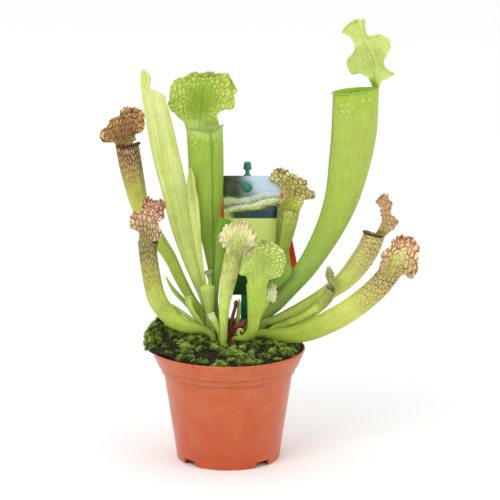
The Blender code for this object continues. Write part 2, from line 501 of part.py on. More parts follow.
def build_pot():
    """Thin turned wall with a collar, a raised floor, foot notches and drain holes."""
    collar_foot = POT_HEIGHT - POT_COLLAR_HEIGHT
    floor_top = POT_FLOOR_UNDERSIDE + POT_WALL
    bead = POT_BEAD
    profile = [
        (0.0, floor_top),
        (pot_inner_radius(floor_top), floor_top),
        (pot_inner_radius(collar_foot - 0.001), collar_foot - 0.001),
        (pot_inner_radius(collar_foot + 0.001), collar_foot + 0.0015),
        (pot_inner_radius(POT_HEIGHT), POT_HEIGHT - 0.0006),
        (POT_RIM_RADIUS - 0.0009, POT_HEIGHT),
        (POT_RIM_RADIUS, POT_HEIGHT - 0.0006),
        (POT_RIM_RADIUS - 0.0002, POT_HEIGHT - 0.0022),
        (POT_COLLAR_FOOT_RADIUS + 0.0018, collar_foot + 0.0042),
        (POT_COLLAR_FOOT_RADIUS + 0.0018 + bead, collar_foot + 0.0034),
        (POT_COLLAR_FOOT_RADIUS + bead, collar_foot),
        (POT_BODY_TOP_RADIUS, collar_foot - 0.0006),
        (POT_FOOT_RADIUS + 0.0004, 0.0012),
        (POT_FOOT_RADIUS - 0.0004, 0.0),
        (POT_FOOT_RADIUS - POT_WALL - 0.0006, 0.0),
        (POT_FOOT_RADIUS - POT_WALL - 0.0008, POT_FLOOR_UNDERSIDE),
        (0.0, POT_FLOOR_UNDERSIDE),
    ]
    pot = new_object("pot", lathe(profile, POT_SIDES), "terracotta")
    cutters = []
    for notch in range(FOOT_NOTCHES):
        angle = FOOT_NOTCH_FIRST_ANGLE + notch * 2 * math.pi / FOOT_NOTCHES
        built = bmesh.new()
        bmesh.ops.create_cube(built, size=1.0)
        bmesh.ops.scale(built, vec=(0.009, FOOT_NOTCH_WIDTH, 2 * FOOT_NOTCH_HEIGHT), verts=built.verts[:])
        top = [vert for vert in built.verts if vert.co.z > 0]
        bmesh.ops.scale(built, vec=(1.0, 0.82, 1.0), verts=top)
        bmesh.ops.translate(built, vec=(POT_FOOT_RADIUS + 0.0006, 0, 0), verts=built.verts[:])
        made = cutter_from(built)
        made.rotation_euler.z = angle
        cutters.append(made)
    for hole in range(DRAIN_HOLES):
        angle = (hole + 0.5) * 2 * math.pi / DRAIN_HOLES
        built = bmesh.new()
        bmesh.ops.create_cone(
            built, cap_ends=True, segments=12, radius1=DRAIN_HOLE_RADIUS, radius2=DRAIN_HOLE_RADIUS,
            depth=4 * POT_WALL,
        )
        made = cutter_from(built)
        made.location = (
            DRAIN_HOLE_CIRCLE * math.cos(angle), DRAIN_HOLE_CIRCLE * math.sin(angle),
            POT_FLOOR_UNDERSIDE + POT_WALL / 2,
        )
        cutters.append(made)
    bpy.context.view_layer.update()
    cut(pot, cutters)
    pot.data.shade_smooth()
    pot.data.set_sharp_from_angle(angle=math.radians(35))
    return pot


def build_substrate():
    """Peat that fills the pot up to the moss and the rhizome."""
    collar_foot = POT_HEIGHT - POT_COLLAR_HEIGHT
    floor_top = POT_FLOOR_UNDERSIDE + POT_WALL + GAP
    profile = [
        (0.0, SUBSTRATE_TOP),
        (pot_inner_radius(SUBSTRATE_TOP) - 2 * GAP, SUBSTRATE_TOP),
        (pot_inner_radius(collar_foot + 0.001) - 4 * GAP, collar_foot + 0.0015 + GAP),
        (pot_inner_radius(collar_foot - 0.001) - 2 * GAP, collar_foot - 0.001),
        (pot_inner_radius(floor_top) - 2 * GAP, floor_top),
        (0.0, floor_top),
    ]
    return new_object("substrate", lathe(profile, POT_SIDES // 2), "peat")


def sampled_route(leaf, samples):
    """Read a smooth curve through the stations at even steps of its length.

    Returns a list of (point, tangent, half width).
    """
    knots = [Vector(station[:3]) for station in leaf.stations]
    halves = [station[3] for station in leaf.stations]
    fine = []
    for index in range(len(knots) - 1):
        before = knots[max(index - 1, 0)]
        after = knots[min(index + 2, len(knots) - 1)]
        start, end = knots[index], knots[index + 1]
        span = (end - start).length
        start_slope = (end - before).normalized() * span
        end_slope = (after - start).normalized() * span
        for step in range(12):
            t = step / 12
            point = (
                start * (2 * t**3 - 3 * t**2 + 1) + start_slope * (t**3 - 2 * t**2 + t)
                + end * (3 * t**2 - 2 * t**3) + end_slope * (t**3 - t**2)
            )
            fine.append((point, halves[index] + (halves[index + 1] - halves[index]) * t))
    fine.append((knots[-1], halves[-1]))
    lengths = [0.0]
    for (one, _), (two, _) in zip(fine, fine[1:]):
        lengths.append(lengths[-1] + (two - one).length)
    route = []
    cursor = 0
    for sample in range(samples + 1):
        target = lengths[-1] * sample / samples
        while cursor < len(fine) - 2 and lengths[cursor + 1] < target:
            cursor += 1
        span = max(lengths[cursor + 1] - lengths[cursor], 1e-9)
        t = (target - lengths[cursor]) / span
        point = fine[cursor][0].lerp(fine[cursor + 1][0], t)
        half = fine[cursor][1] + (fine[cursor + 1][1] - fine[cursor][1]) * t
        ahead = fine[min(cursor + 2, len(fine) - 1)][0]
        behind = fine[max(cursor - 1, 0)][0]
        route.append((point, (ahead - behind).normalized(), half))
    return route


def ring_axes(leaf, tangent):
    """Return the front and side directions of a cross-section."""
    facing = Vector(leaf.facing)
    front = (facing - tangent * facing.dot(tangent)).normalized()
    return front, front.cross(tangent).normalized()


def ring_angles(leaf):
    """Angles round a section: the front part with its wing, then the back part that the hood grows from."""
    neck = math.radians(leaf.neck_angle)
    wing = math.radians(14)
    back_count = leaf.hood_columns if leaf.hood else max(3, leaf.sides // 3)
    side_count = max(2, (leaf.sides - back_count - 2) // 2)
    start = -math.pi / 2 + neck
    keel = math.pi / 2
    right = [start + (keel - wing - start) * step / side_count for step in range(side_count + 1)]
    left = [math.pi - angle for angle in reversed(right)]
    back = [1.5 * math.pi - neck + 2 * neck * step / back_count for step in range(1, back_count)]
    return right + [keel] + left, back


def section_point(leaf, point, front, side, half, angle, shrink=0.0, wing=0.0):
    """A point on a cross-section, at an angle that is 90 degrees at the front."""
    across = half * leaf.across_scale - shrink
    deep = half * leaf.deep_scale - shrink
    keel = wing if abs(angle - math.pi / 2) < 1e-6 else 0.0
    return point + side * across * math.cos(angle) + front * (deep * math.sin(angle) + keel)


def smooth_step(low, high, value):
    """Rise smoothly from 0 to 1 between low and high."""
    t = min(max((value - low) / (high - low), 0.0), 1.0)
    return t * t * (3 - 2 * t)


def hood_midrib(leaf, rows):
    """Smooth (point, reach to -across, reach to +across) along the hood's midrib."""
    stations = leaf.hood
    last = len(stations) - 1
    midrib = []
    for row in range(1, rows + 1):
        place = (row - 1) / (rows - 1) * last
        index = min(int(place), last - 1)
        t = place - index
        group = [stations[min(max(index + shift, 0), last)] for shift in (-1, 0, 1, 2)]
        values = [
            0.5 * (2 * b + (c - a) * t + (2 * a - 5 * b + 4 * c - d) * t * t + (3 * b - a - 3 * c + d) * t**3)
            for a, b, c, d in zip(*group)
        ]
        midrib.append((Vector(values[:3]), values[3], values[4]))
    return midrib


def hood_grid(leaf, rim, side_at_mouth):
    """Outer points of the hood, row by row from the rim, each row from -side to +side."""
    columns = len(rim) - 1
    midrib = hood_midrib(leaf, leaf.hood_rows)
    across = Vector(leaf.hood_across).normalized()
    swap = across.dot(side_at_mouth) < 0
    root = rim[columns // 2] if columns % 2 == 0 else (rim[columns // 2] + rim[columns // 2 + 1]) / 2
    spine = [root] + [point for point, _, _ in midrib]
    rows = [list(rim)]
    facing = Vector(leaf.facing)
    for row, (point, low, high) in enumerate(midrib, start=1):
        v = row / leaf.hood_rows
        upward = (spine[min(row + 1, len(spine) - 1)] - spine[row - 1]).normalized()
        inward = across.cross(upward).normalized()
        if inward.dot(facing) < 0:
            inward = -inward
        line = []
        for column in range(columns + 1):
            u = 2 * column / columns - 1
            if swap:
                u = -u
            reach = high if u > 0 else low
            edge = math.hypot(u * 0.95, (v - 0.4) / 0.6)
            turn = math.atan2(v - 0.35, u)
            room = min(1.0, (low + high) / columns / RUFFLE_ROOM)
            wave = leaf.ruffle * room * smooth_step(0.45, 1.05, edge) * smooth_step(0.0, 0.3, v)
            lift = wave * math.sin(leaf.ruffle_waves * turn + leaf.ruffle_phase)
            cup = leaf.hood_cup * u * u * smooth_step(0.0, 0.4, v)
            line.append(point + across * u * reach + inward * (cup + lift) + upward * 0.4 * lift)
        rows.append(line)
    return rows


def grid_normals(rows, away_from):
    """Unit normals of a grid of points, on the side that points away from a direction."""
    normals = []
    for r, line in enumerate(rows):
        out = []
        for c in range(len(line)):
            along = rows[min(r + 1, len(rows) - 1)][c] - rows[max(r - 1, 0)][c]
            cross = line[min(c + 1, len(line) - 1)] - line[max(c - 1, 0)]
            normal = cross.cross(along).normalized()
            out.append(normal)
        normals.append(out)
    middle = normals[len(rows) // 2][len(rows[0]) // 2]
    if middle.dot(away_from) > 0:
        normals = [[-normal for normal in line] for line in normals]
    return normals


def add_strip(built, lower, upper, closed):
    """Bridge two rows of vertices with triangles that are split the same way everywhere."""
    count = len(lower)
    for index in range(count if closed else count - 1):
        other = (index + 1) % count
        quad = (lower[index], lower[other], upper[other], upper[index])
        for triangle in ((quad[0], quad[1], quad[2]), (quad[0], quad[2], quad[3])):
            if len(set(triangle)) == 3:
                built.faces.new(triangle)


def add_cap(built, ring, centre):
    """Close a ring with a fan."""
    middle = built.verts.new(centre)
    for index, vert in enumerate(ring):
        built.faces.new((vert, ring[(index + 1) % len(ring)], middle))


def build_leaf(leaf):
    """One closed solid: a tube with a cavity, a rolled lip and a ruffled hood, or a plain closed leaf."""
    route = sampled_route(leaf, leaf.rows)
    front_angles, back_angles = ring_angles(leaf)
    angles = front_angles + back_angles
    built = bmesh.new()
    rings = []
    frames = []
    for index, (point, tangent, half) in enumerate(route):
        front, side = ring_axes(leaf, tangent)
        frames.append((point, tangent, front, side, half))
        wing = leaf.wing * smooth_step(0.2, 0.45, index / leaf.rows)
        slant = leaf.slant if index == leaf.rows else 0.0
        rings.append([
            built.verts.new(
                section_point(leaf, point, front, side, half, angle, wing=wing)
                + tangent * slant * math.sin(angle)
            )
            for angle in angles
        ])
    for lower, upper in zip(rings, rings[1:]):
        add_strip(built, lower, upper, closed=True)
    add_cap(built, rings[0], frames[0][0])
    if not leaf.hood:
        add_cap(built, rings[-1], frames[-1][0] + frames[-1][1] * 0.3 * frames[-1][4])
        bmesh.ops.recalc_face_normals(built, faces=built.faces[:])
        return new_object(leaf.name, built, leaf.colour)

    # The cavity, from the mouth down
    first_inner = leaf.rows - max(2, round(leaf.hollow * leaf.rows))
    inner = []
    for index in range(first_inner, leaf.rows + 1):
        point, tangent, front, side, half = frames[index]
        slant = leaf.slant if index == leaf.rows else 0.0
        inner.append([
            built.verts.new(
                section_point(leaf, point, front, side, half, angle, shrink=PITCHER_WALL)
                + tangent * slant * math.sin(angle)
            )
            for angle in angles
        ])
    for lower, upper in zip(inner, inner[1:]):
        add_strip(built, lower, upper, closed=True)
    add_cap(built, inner[0], frames[first_inner][0])

    # The rolled lip round the front, which runs out where the hood begins
    outer_rim, inner_rim = rings[-1], inner[-1]
    front_count = len(front_angles)
    point, tangent, front, side, half = frames[-1]
    roll = outer_rim[:front_count]
    crest = inner_rim[:front_count]
    if leaf.lip:
        for index in range(1, front_count - 1):
            angle = angles[index]
            base = outer_rim[index].co
            outward = (side * math.cos(angle) + front * math.sin(angle)).normalized()
            roll[index] = built.verts.new(base + outward * leaf.lip + tangent * 0.1 * leaf.lip)
            crest[index] = built.verts.new(base + outward * 0.2 * leaf.lip + tangent * 0.9 * leaf.lip)
        add_strip(built, outer_rim[:front_count], roll, closed=False)
        add_strip(built, crest, inner_rim[:front_count], closed=False)
    add_strip(built, roll, crest, closed=False)

    # The hood, an outer and an inner face with a rim between them
    back_outer = [outer_rim[front_count - 1]] + outer_rim[front_count:] + [outer_rim[0]]
    back_inner = [inner_rim[front_count - 1]] + inner_rim[front_count:] + [inner_rim[0]]
    points = hood_grid(leaf, [vert.co.copy() for vert in back_outer], side)
    normals = grid_normals(points, -Vector(leaf.facing))
    outer_rows, inner_rows = [back_outer], [back_inner]
    for row in range(1, len(points)):
        outer_rows.append([built.verts.new(place) for place in points[row]])
        inner_rows.append([
            built.verts.new(place + normal * HOOD_THICKNESS)
            for place, normal in zip(points[row], normals[row])
        ])
    for lower, upper in zip(outer_rows, outer_rows[1:]):
        add_strip(built, lower, upper, closed=False)
    for lower, upper in zip(inner_rows, inner_rows[1:]):
        add_strip(built, lower, upper, closed=False)
    add_strip(built, outer_rows[-1], inner_rows[-1], closed=False)
    add_strip(built, [row[0] for row in outer_rows], [row[0] for row in inner_rows], closed=False)
    add_strip(built, [row[-1] for row in outer_rows], [row[-1] for row in inner_rows], closed=False)
    bmesh.ops.recalc_face_normals(built, faces=built.faces[:])
    return new_object(leaf.name, built, leaf.colour)


def socket_cutter(leaf):
    """A plain round hole that holds the foot of a leaf with clearance all round."""
    built = bmesh.new()
    grown = []
    route = sampled_route(leaf, leaf.rows)
    below = route[0][0] - route[0][1] * SOCKET_CLEARANCE * 2
    foot = [(below, route[0][1], route[0][2])] + route[1:]
    for point, tangent, half in foot:
        radius = half * max(leaf.across_scale, leaf.deep_scale) + SOCKET_CLEARANCE
        radius /= math.cos(math.pi / SOCKET_SIDES)
        front, side = ring_axes(leaf, tangent)
        grown.append([
            built.verts.new(
                point + side * radius * math.cos(2 * math.pi * k / SOCKET_SIDES)
                + front * radius * math.sin(2 * math.pi * k / SOCKET_SIDES)
            )
            for k in range(SOCKET_SIDES)
        ])
        above = point
        if point.z - radius > CROWN_TOP + 0.001:
            break
    for lower, upper in zip(grown, grown[1:]):
        add_strip(built, lower, upper, closed=True)
    add_cap(built, grown[0], below)
    add_cap(built, grown[-1], above)
    bmesh.ops.recalc_face_normals(built, faces=built.faces[:])
    return cutter_from(built, "socket")


def keep_largest_body(made):
    """Drop loose scraps that cutting has left."""
    built = bmesh.new()
    built.from_mesh(made.data)
    left = set(built.verts)
    bodies = []
    while left:
        body, edge = set(), [left.pop()]
        while edge:
            vert = edge.pop()
            body.add(vert)
            for link in vert.link_edges:
                other = link.other_vert(vert)
                if other in left:
                    left.discard(other)
                    edge.append(other)
        bodies.append(body)
    bodies.sort(key=len)
    scraps = [vert for body in bodies[:-1] for vert in body]
    bmesh.ops.delete(built, geom=scraps, context="VERTS")
    built.to_mesh(made.data)
    built.free()


def crown_radius(angle):
    """Outline of the rhizome seen from above, an ellipse."""
    return CROWN_HALF_LENGTH * CROWN_HALF_WIDTH / math.hypot(
        CROWN_HALF_WIDTH * math.cos(angle), CROWN_HALF_LENGTH * math.sin(angle)
    )


def build_rhizome():
    """The woody crown: a low lump on the peat, with a socket for each leaf."""
    sectors = 16
    built = bmesh.new()
    bottom = SUBSTRATE_TOP + GAP
    levels = ((1.0, bottom), (1.0, 0.45), (0.92, 0.74), (0.72, 0.90), (0.42, 0.98))
    rings = []
    for share, level in levels:
        height = level if level == bottom else bottom + (CROWN_TOP - bottom) * level
        ring = []
        for sector in range(sectors):
            angle = 2 * math.pi * sector / sectors
            radius = crown_radius(angle) * share
            rough = 0.0 if level == bottom else 0.0006 * math.sin(5 * angle + 9 * share)
            ring.append(built.verts.new((
                CROWN_CENTRE[0] + radius * math.cos(angle), CROWN_CENTRE[1] + radius * math.sin(angle),
                height + rough,
            )))
        rings.append(ring)
    for lower, upper in zip(rings, rings[1:]):
        add_strip(built, lower, upper, closed=True)
    add_cap(built, rings[0], (*CROWN_CENTRE, bottom))
    add_cap(built, rings[-1], (*CROWN_CENTRE, CROWN_TOP))
    bmesh.ops.recalc_face_normals(built, faces=built.faces[:])
    crown = new_object("rhizome", built, "rhizome")
    cut(crown, [socket_cutter(leaf) for leaf in LEAVES])
    keep_largest_body(crown)
    crown.data.shade_smooth()
    crown.data.set_sharp_from_angle(angle=math.radians(40))
    return crown


def lowest_leaf_over(x, y, feet):
    """Height that the moss may reach at a place, under the leaves that lie over it."""
    limit = 1.0
    for point, half in feet:
        if math.hypot(point.x - x, point.y - y) < half + 0.0045:
            limit = min(limit, point.z - half - 0.0008)
    return limit


def moss_height(x, y):
    """Top of the moss: up from the rim to the rhizome, with a mound over the left of the rim."""
    radius = math.hypot(x, y)
    toward_crown = 1.0 - smooth_step(0.024, 0.057, radius)
    side = smooth_step(-0.9, 0.6, y / max(radius, 1e-6))
    height = MOSS_FRONT_HEIGHT + 0.0045 * side + (MOSS_CROWN_HEIGHT - MOSS_FRONT_HEIGHT) * toward_crown
    mound = math.exp(-(((x + 0.050) / 0.016) ** 2) - ((y - 0.008) / 0.024) ** 2)
    height += MOSS_LEFT_MOUND * mound
    bump = noise.noise(Vector((x, y, 0.0)) * 130.0) + 0.6 * noise.noise(Vector((x, y, 5.0)) * 310.0)
    return height + MOSS_RELIEF * bump


def reach_to(radius, direction):
    """Distance from the rhizome's centre along a direction to a circle round the pot's axis."""
    centre = Vector((*CROWN_CENTRE, 0.0))
    along = centre.dot(direction)
    return -along + math.sqrt(along**2 + radius**2 - centre.length_squared)


def build_moss():
    """A bumpy cushion ring between the rhizome and the pot's wall, that spills over the rim at the left."""
    feet = []
    for leaf in LEAVES:
        for point, _, half in sampled_route(leaf, 40):
            if point.z < MOSS_LEAF_REACH:
                feet.append((point, half))
    bottom = SUBSTRATE_TOP + GAP
    centre = Vector((*CROWN_CENTRE, 0.0))
    tuck = 2 * GAP
    inside_edge = SUBSTRATE_TOP + 0.0045
    built = bmesh.new()
    rings = [[] for _ in range(len(MOSS_RINGS) + 5)]
    for sector in range(MOSS_SECTORS):
        angle = 2 * math.pi * sector / MOSS_SECTORS
        direction = Vector((math.cos(angle), math.sin(angle), 0.0))
        hole = crown_radius(angle) + MOSS_CROWN_GAP
        spills = smooth_step(0.55, 0.92, -math.cos(angle)) * smooth_step(-0.72, -0.25, math.sin(angle))
        if spills > 0.01:
            edge = POT_HEIGHT + 2 * GAP
            outer_radius = pot_inner_radius(POT_HEIGHT) - tuck - 0.0004
            outer_radius += (POT_RIM_RADIUS + MOSS_OVERHANG - outer_radius) * spills
            wall_radius = pot_inner_radius(POT_HEIGHT) - tuck - 0.0006
            top_radius = outer_radius
        else:
            edge = inside_edge
            outer_radius = pot_inner_radius(inside_edge) - tuck - 0.0001
            wall_radius = outer_radius
            top_radius = pot_inner_radius(MOSS_FRONT_HEIGHT - 0.001) - tuck
        inner = reach_to(pot_inner_radius(inside_edge) - tuck, direction) - 0.0010

        def on_moss(distance, low=bottom + 0.004):
            place = centre + direction * distance
            top = min(moss_height(place.x, place.y), lowest_leaf_over(place.x, place.y, feet))
            return Vector((place.x, place.y, max(top, low)))

        def at(radius, height):
            place = centre + direction * reach_to(radius, direction)
            return Vector((place.x, place.y, height))

        foot = centre + direction * hole
        profile = [Vector((foot.x, foot.y, bottom))]
        profile += [on_moss(hole + (inner - hole) * share) for share in MOSS_RINGS]
        shoulder = on_moss(reach_to(top_radius, direction), edge + 0.0020)
        shoulder.z = max(shoulder.z - (0.0035 if spills > 0.01 else 0.0), edge + 0.0020)
        profile += [
            shoulder, at(outer_radius, edge), at(wall_radius, edge - 0.0001),
            at(pot_inner_radius(SUBSTRATE_TOP) - tuck, bottom),
        ]
        for ring, place in zip(rings, profile):
            ring.append(built.verts.new(place))
    for lower, upper in zip(rings, rings[1:]):
        add_strip(built, lower, upper, closed=True)
    add_strip(built, rings[-1], rings[0], closed=True)
    bmesh.ops.recalc_face_normals(built, faces=built.faces[:])
    return new_object("moss", built, "moss", smooth_angle=math.radians(80))


def stake_axis(height):
    """X of the stake's middle at a height: it leans slightly to the right."""
    (x0, z0), (x1, z1) = STAKE_FOOT, STAKE_SHOULDER
    return x0 + (x1 - x0) * (height - z0) / (z1 - z0)


def stake_bar(half_width, half_thickness, foot, top):
    """A flat bar along the stake's axis, pointed at the foot."""
    built = bmesh.new()
    rings = []
    for height, width in ((foot, 0.25), (foot + 0.010, 1.0), (top - 0.001, 1.0), (top, 0.7)):
        x = stake_axis(height)
        corners = ((-1, -1), (1, -1), (1, 1), (-1, 1))
        rings.append([
            built.verts.new((x + sx * half_width * width, STAKE_Y + sy * half_thickness, height))
            for sx, sy in corners
        ])
    for lower, upper in zip(rings, rings[1:]):
        add_strip(built, lower, upper, closed=True)
    add_cap(built, rings[0], (stake_axis(foot), STAKE_Y, foot))
    add_cap(built, rings[-1], (stake_axis(top), STAKE_Y, top))
    bmesh.ops.recalc_face_normals(built, faces=built.faces[:])
    return built


def build_stake():
    """Moulded stake: a flat bar, a peg with a ball that the label hangs on, and a plug on top."""
    stake = new_object(
        "label_stake",
        stake_bar(STAKE_WIDTH / 2, STAKE_THICKNESS / 2, STAKE_FOOT[1], STAKE_SHOULDER[1]),
        "stake_green",
    )
    peg_x = stake_axis(PEG_HEIGHT)
    knob_y = LABEL_FRONT - KNOB_RADIUS - 0.0002
    peg = bmesh.new()
    bmesh.ops.create_cone(
        peg, cap_ends=True, segments=12, radius1=PEG_RADIUS, radius2=PEG_RADIUS, depth=STAKE_Y - knob_y,
    )
    bmesh.ops.rotate(
        peg, cent=(0, 0, 0), matrix=Matrix.Rotation(math.pi / 2, 3, "X"), verts=peg.verts[:],
    )
    bmesh.ops.translate(peg, vec=(peg_x, (STAKE_Y + knob_y) / 2, PEG_HEIGHT), verts=peg.verts[:])
    ball = bmesh.new()
    bmesh.ops.create_uvsphere(ball, u_segments=14, v_segments=9, radius=KNOB_RADIUS)
    bmesh.ops.translate(ball, vec=(peg_x, knob_y, PEG_HEIGHT), verts=ball.verts[:])
    top = STAKE_SHOULDER[1]
    profile = [
        (0.0, top + 0.0098), (PLUG_TOP_RADIUS, top + 0.0098),
        (PLUG_FLARE_RADIUS, top + 0.0098 - PLUG_HEIGHT + 0.0008),
        (PLUG_FLARE_RADIUS - 0.0006, top + 0.0098 - PLUG_HEIGHT),
        (PLUG_NECK_RADIUS, top + 0.0098 - PLUG_HEIGHT), (PLUG_NECK_RADIUS, top - 0.003), (0.0, top - 0.003),
    ]
    plug = lathe(profile, 14)
    bmesh.ops.translate(plug, vec=(stake_axis(top), STAKE_Y, 0.0), verts=plug.verts[:])
    cut(stake, [cutter_from(piece) for piece in (peg, ball, plug)], operation="UNION")
    stake.data.shade_smooth()
    stake.data.set_sharp_from_angle(angle=math.radians(40))
    return stake


def label_outline():
    """Corner arcs of the card in (x, z), anticlockwise from the lower left."""
    left_foot, right_foot = LABEL_BOTTOM_EDGE
    left_top, right_top = LABEL_TOP_EDGE
    corners = (
        (left_foot, LABEL_BOTTOM, LABEL_BOTTOM_CORNER, 180),
        (right_foot, LABEL_BOTTOM, LABEL_BOTTOM_CORNER, 270),
        (right_top, LABEL_TOP, LABEL_TOP_CORNER, 0), (left_top, LABEL_TOP, LABEL_TOP_CORNER, 90),
    )
    outline = []
    for x, z, radius, start in corners:
        inward_x = radius if x < (left_top + right_top) / 2 else -radius
        inward_z = radius if z < (LABEL_TOP + LABEL_BOTTOM) / 2 else -radius
        for step in range(7):
            angle = math.radians(start + 90 * step / 6)
            outline.append((x + inward_x + radius * math.cos(angle), z + inward_z + radius * math.sin(angle)))
    return outline


def build_label():
    """A thin card with rounded corners and a hole for the peg."""
    built = bmesh.new()
    front = [built.verts.new((x, LABEL_FRONT, z)) for x, z in label_outline()]
    face = built.faces.new(front)
    extruded = bmesh.ops.extrude_face_region(built, geom=[face])
    moved = [item for item in extruded["geom"] if isinstance(item, bmesh.types.BMVert)]
    bmesh.ops.translate(built, vec=(0, LABEL_THICKNESS, 0), verts=moved)
    bmesh.ops.recalc_face_normals(built, faces=built.faces[:])
    label = new_object("label_card", built, "label_lime")
    hole = bmesh.new()
    bmesh.ops.create_cone(
        hole, cap_ends=True, segments=12, radius1=PEG_RADIUS + 2 * GAP, radius2=PEG_RADIUS + 2 * GAP,
        depth=10 * LABEL_THICKNESS,
    )
    bmesh.ops.rotate(hole, cent=(0, 0, 0), matrix=Matrix.Rotation(math.pi / 2, 3, "X"), verts=hole.verts[:])
    bmesh.ops.translate(
        hole, vec=(stake_axis(PEG_HEIGHT), LABEL_FRONT, PEG_HEIGHT), verts=hole.verts[:],
    )
    cut(label, [cutter_from(hole)])
    return label


def place_under_origin():
    """Carry every piece with one empty, so that the plant's whole width is centred on the origin."""
    pieces = list(bpy.data.objects)
    carrier = bpy.data.objects.new("plant", None)
    bpy.context.collection.objects.link(carrier)
    carrier.location.x = -PLANT_MIDDLE_X
    for piece in pieces:
        piece.parent = carrier


def main():
    """Build every piece in order."""
    clear_scene()
    build_pot()
    substrate = build_substrate()
    build_rhizome()
    moss = build_moss()
    for leaf in LEAVES:
        build_leaf(leaf)
    build_stake()
    build_label()
    clearance = 3 * GAP
    for filled in (substrate, moss):
        slot = stake_bar(
            STAKE_WIDTH / 2 + clearance, STAKE_THICKNESS / 2 + clearance, STAKE_FOOT[1] - clearance,
            STAKE_SHOULDER[1] - 0.06,
        )
        cut(filled, [cutter_from(slot)])
    place_under_origin()


main()
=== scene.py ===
"""Looks of a potted trumpet pitcher plant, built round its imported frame.

Metres, +Z up, -Y towards the viewer. The leaves are laid out round the pot's axis, by stations in
millimetres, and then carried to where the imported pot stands. Hoods and the unopened leaf are drawn as the
viewer sees them: across and down in a 500 by 500 view of the plant, with a depth in millimetres behind the
pot's axis.
"""

import logging
import math
from collections.abc import Iterable, Iterator, Sequence
from dataclasses import dataclass, field
from enum import Enum

import bmesh
import bpy
import numpy as np
from mathutils import Matrix, Vector, noise

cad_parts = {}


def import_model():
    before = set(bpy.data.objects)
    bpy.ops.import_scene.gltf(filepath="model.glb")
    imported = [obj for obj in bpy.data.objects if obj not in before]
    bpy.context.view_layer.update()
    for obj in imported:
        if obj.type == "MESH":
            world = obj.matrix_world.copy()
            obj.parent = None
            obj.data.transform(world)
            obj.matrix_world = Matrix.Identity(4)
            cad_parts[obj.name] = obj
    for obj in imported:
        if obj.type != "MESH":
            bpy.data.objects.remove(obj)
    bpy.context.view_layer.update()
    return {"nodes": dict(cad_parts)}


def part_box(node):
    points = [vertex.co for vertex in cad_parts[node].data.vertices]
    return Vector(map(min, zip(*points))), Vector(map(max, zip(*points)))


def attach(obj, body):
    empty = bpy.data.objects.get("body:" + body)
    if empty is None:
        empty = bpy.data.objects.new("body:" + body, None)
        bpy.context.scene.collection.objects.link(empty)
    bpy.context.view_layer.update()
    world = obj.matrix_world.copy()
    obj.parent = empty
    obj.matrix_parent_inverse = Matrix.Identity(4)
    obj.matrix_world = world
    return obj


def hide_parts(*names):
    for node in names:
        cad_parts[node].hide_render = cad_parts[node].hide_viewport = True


LOG = logging.getLogger("pitcher_plant")
MM = 0.001
MAP_NAME = "leaf_map"
VEIN_MAP = "vein_map"
BODY = "root"
# Pattern size, in millimetres, along an axis that the pattern doesn't change along
FLAT = 1000.0
# Where the scale along a leaf ends: 0 is its foot, 1 its mouth, 2 its hood's tip
TIP = 2.0
# Turn from one small leaf of a moss tuft to the next, in radians
GOLDEN_ANGLE = 2.39996
# Angles round a leaf's section where its keel and its hood's midrib lie
KEEL_ANGLE = math.pi / 2
MIDRIB_ANGLE = 1.5 * math.pi

Array = np.ndarray
Socket = bpy.types.NodeSocket
Piece = bpy.types.Object
Stops = tuple[tuple[float, str], ...]
Amounts = tuple[tuple[float, float], ...]
NONE: Amounts = ((0, 0), (TIP, 0))


def linear(hex_colour: str) -> tuple[float, float, float, float]:
    """Turn an sRGB hex colour into Blender's linear colour.

    Args:
        hex_colour: Colour such as "#8DB53A".

    Returns:
        Linear red, green and blue, and an alpha of 1.
    """
    parts = [int(hex_colour[start:start + 2], 16) / 255 for start in (1, 3, 5)]
    red, green, blue = (p / 12.92 if p <= 0.04045 else ((p + 0.055) / 1.055) ** 2.4 for p in parts)
    return red, green, blue, 1.0


def smooth_step(low: float, high: float, value: Array | float) -> Array | float:
    """Rise smoothly from 0 to 1 between two values.

    Args:
        low: Where the rise begins.
        high: Where it ends.
        value: One value or an array of them.

    Returns:
        The same shape, between 0 and 1.
    """
    t = np.clip((np.asarray(value, float) - low) / (high - low), 0.0, 1.0)
    return t * t * (3 - 2 * t)


def unit(vectors: Array) -> Array:
    """Scale vectors in the last axis to length 1."""
    return vectors / np.maximum(np.linalg.norm(vectors, axis=-1, keepdims=True), 1e-12)


def smooth_curve(knots: Array, steps: int) -> Array:
    """Run a smooth curve through knots.

    Args:
        knots: Array of n knots with k numbers each.
        steps: Points from one knot to the next.

    Returns:
        Array of (n - 1) * steps + 1 rows.
    """
    padded = np.vstack([2 * knots[0] - knots[1], knots, 2 * knots[-1] - knots[-2]])
    t = (np.arange(steps) / steps)[:, None]
    rows = []
    for a, b, c, d in zip(padded, padded[1:], padded[2:], padded[3:]):
        rows.append(
            0.5 * (2 * b + (c - a) * t + (2 * a - 5 * b + 4 * c - d) * t**2 + (3 * b - a - 3 * c + d) * t**3)
        )
    rows.append(knots[-1:])
    return np.vstack(rows)


def bent_line(t: Array, start: Array, end: Array, leaving: Array, arriving: Array) -> Array:
    """Curve from start to end.

    Args:
        t: Shares of the way.
        start: Where it starts.
        end: Where it ends.
        leaving: Its direction and pull at the start.
        arriving: The same at the end.

    Returns:
        Points of the curve.
    """
    return (
        start * (2 * t**3 - 3 * t**2 + 1) + leaving * (t**3 - 2 * t**2 + t)
        + end * (3 * t**2 - 2 * t**3) + arriving * (t**3 - t**2)
    )


def way_along(points: Array) -> Array:
    """Length of a line from its first point to each point."""
    return np.concatenate([[0.0], np.cumsum(np.linalg.norm(np.diff(points, axis=0), axis=1))])


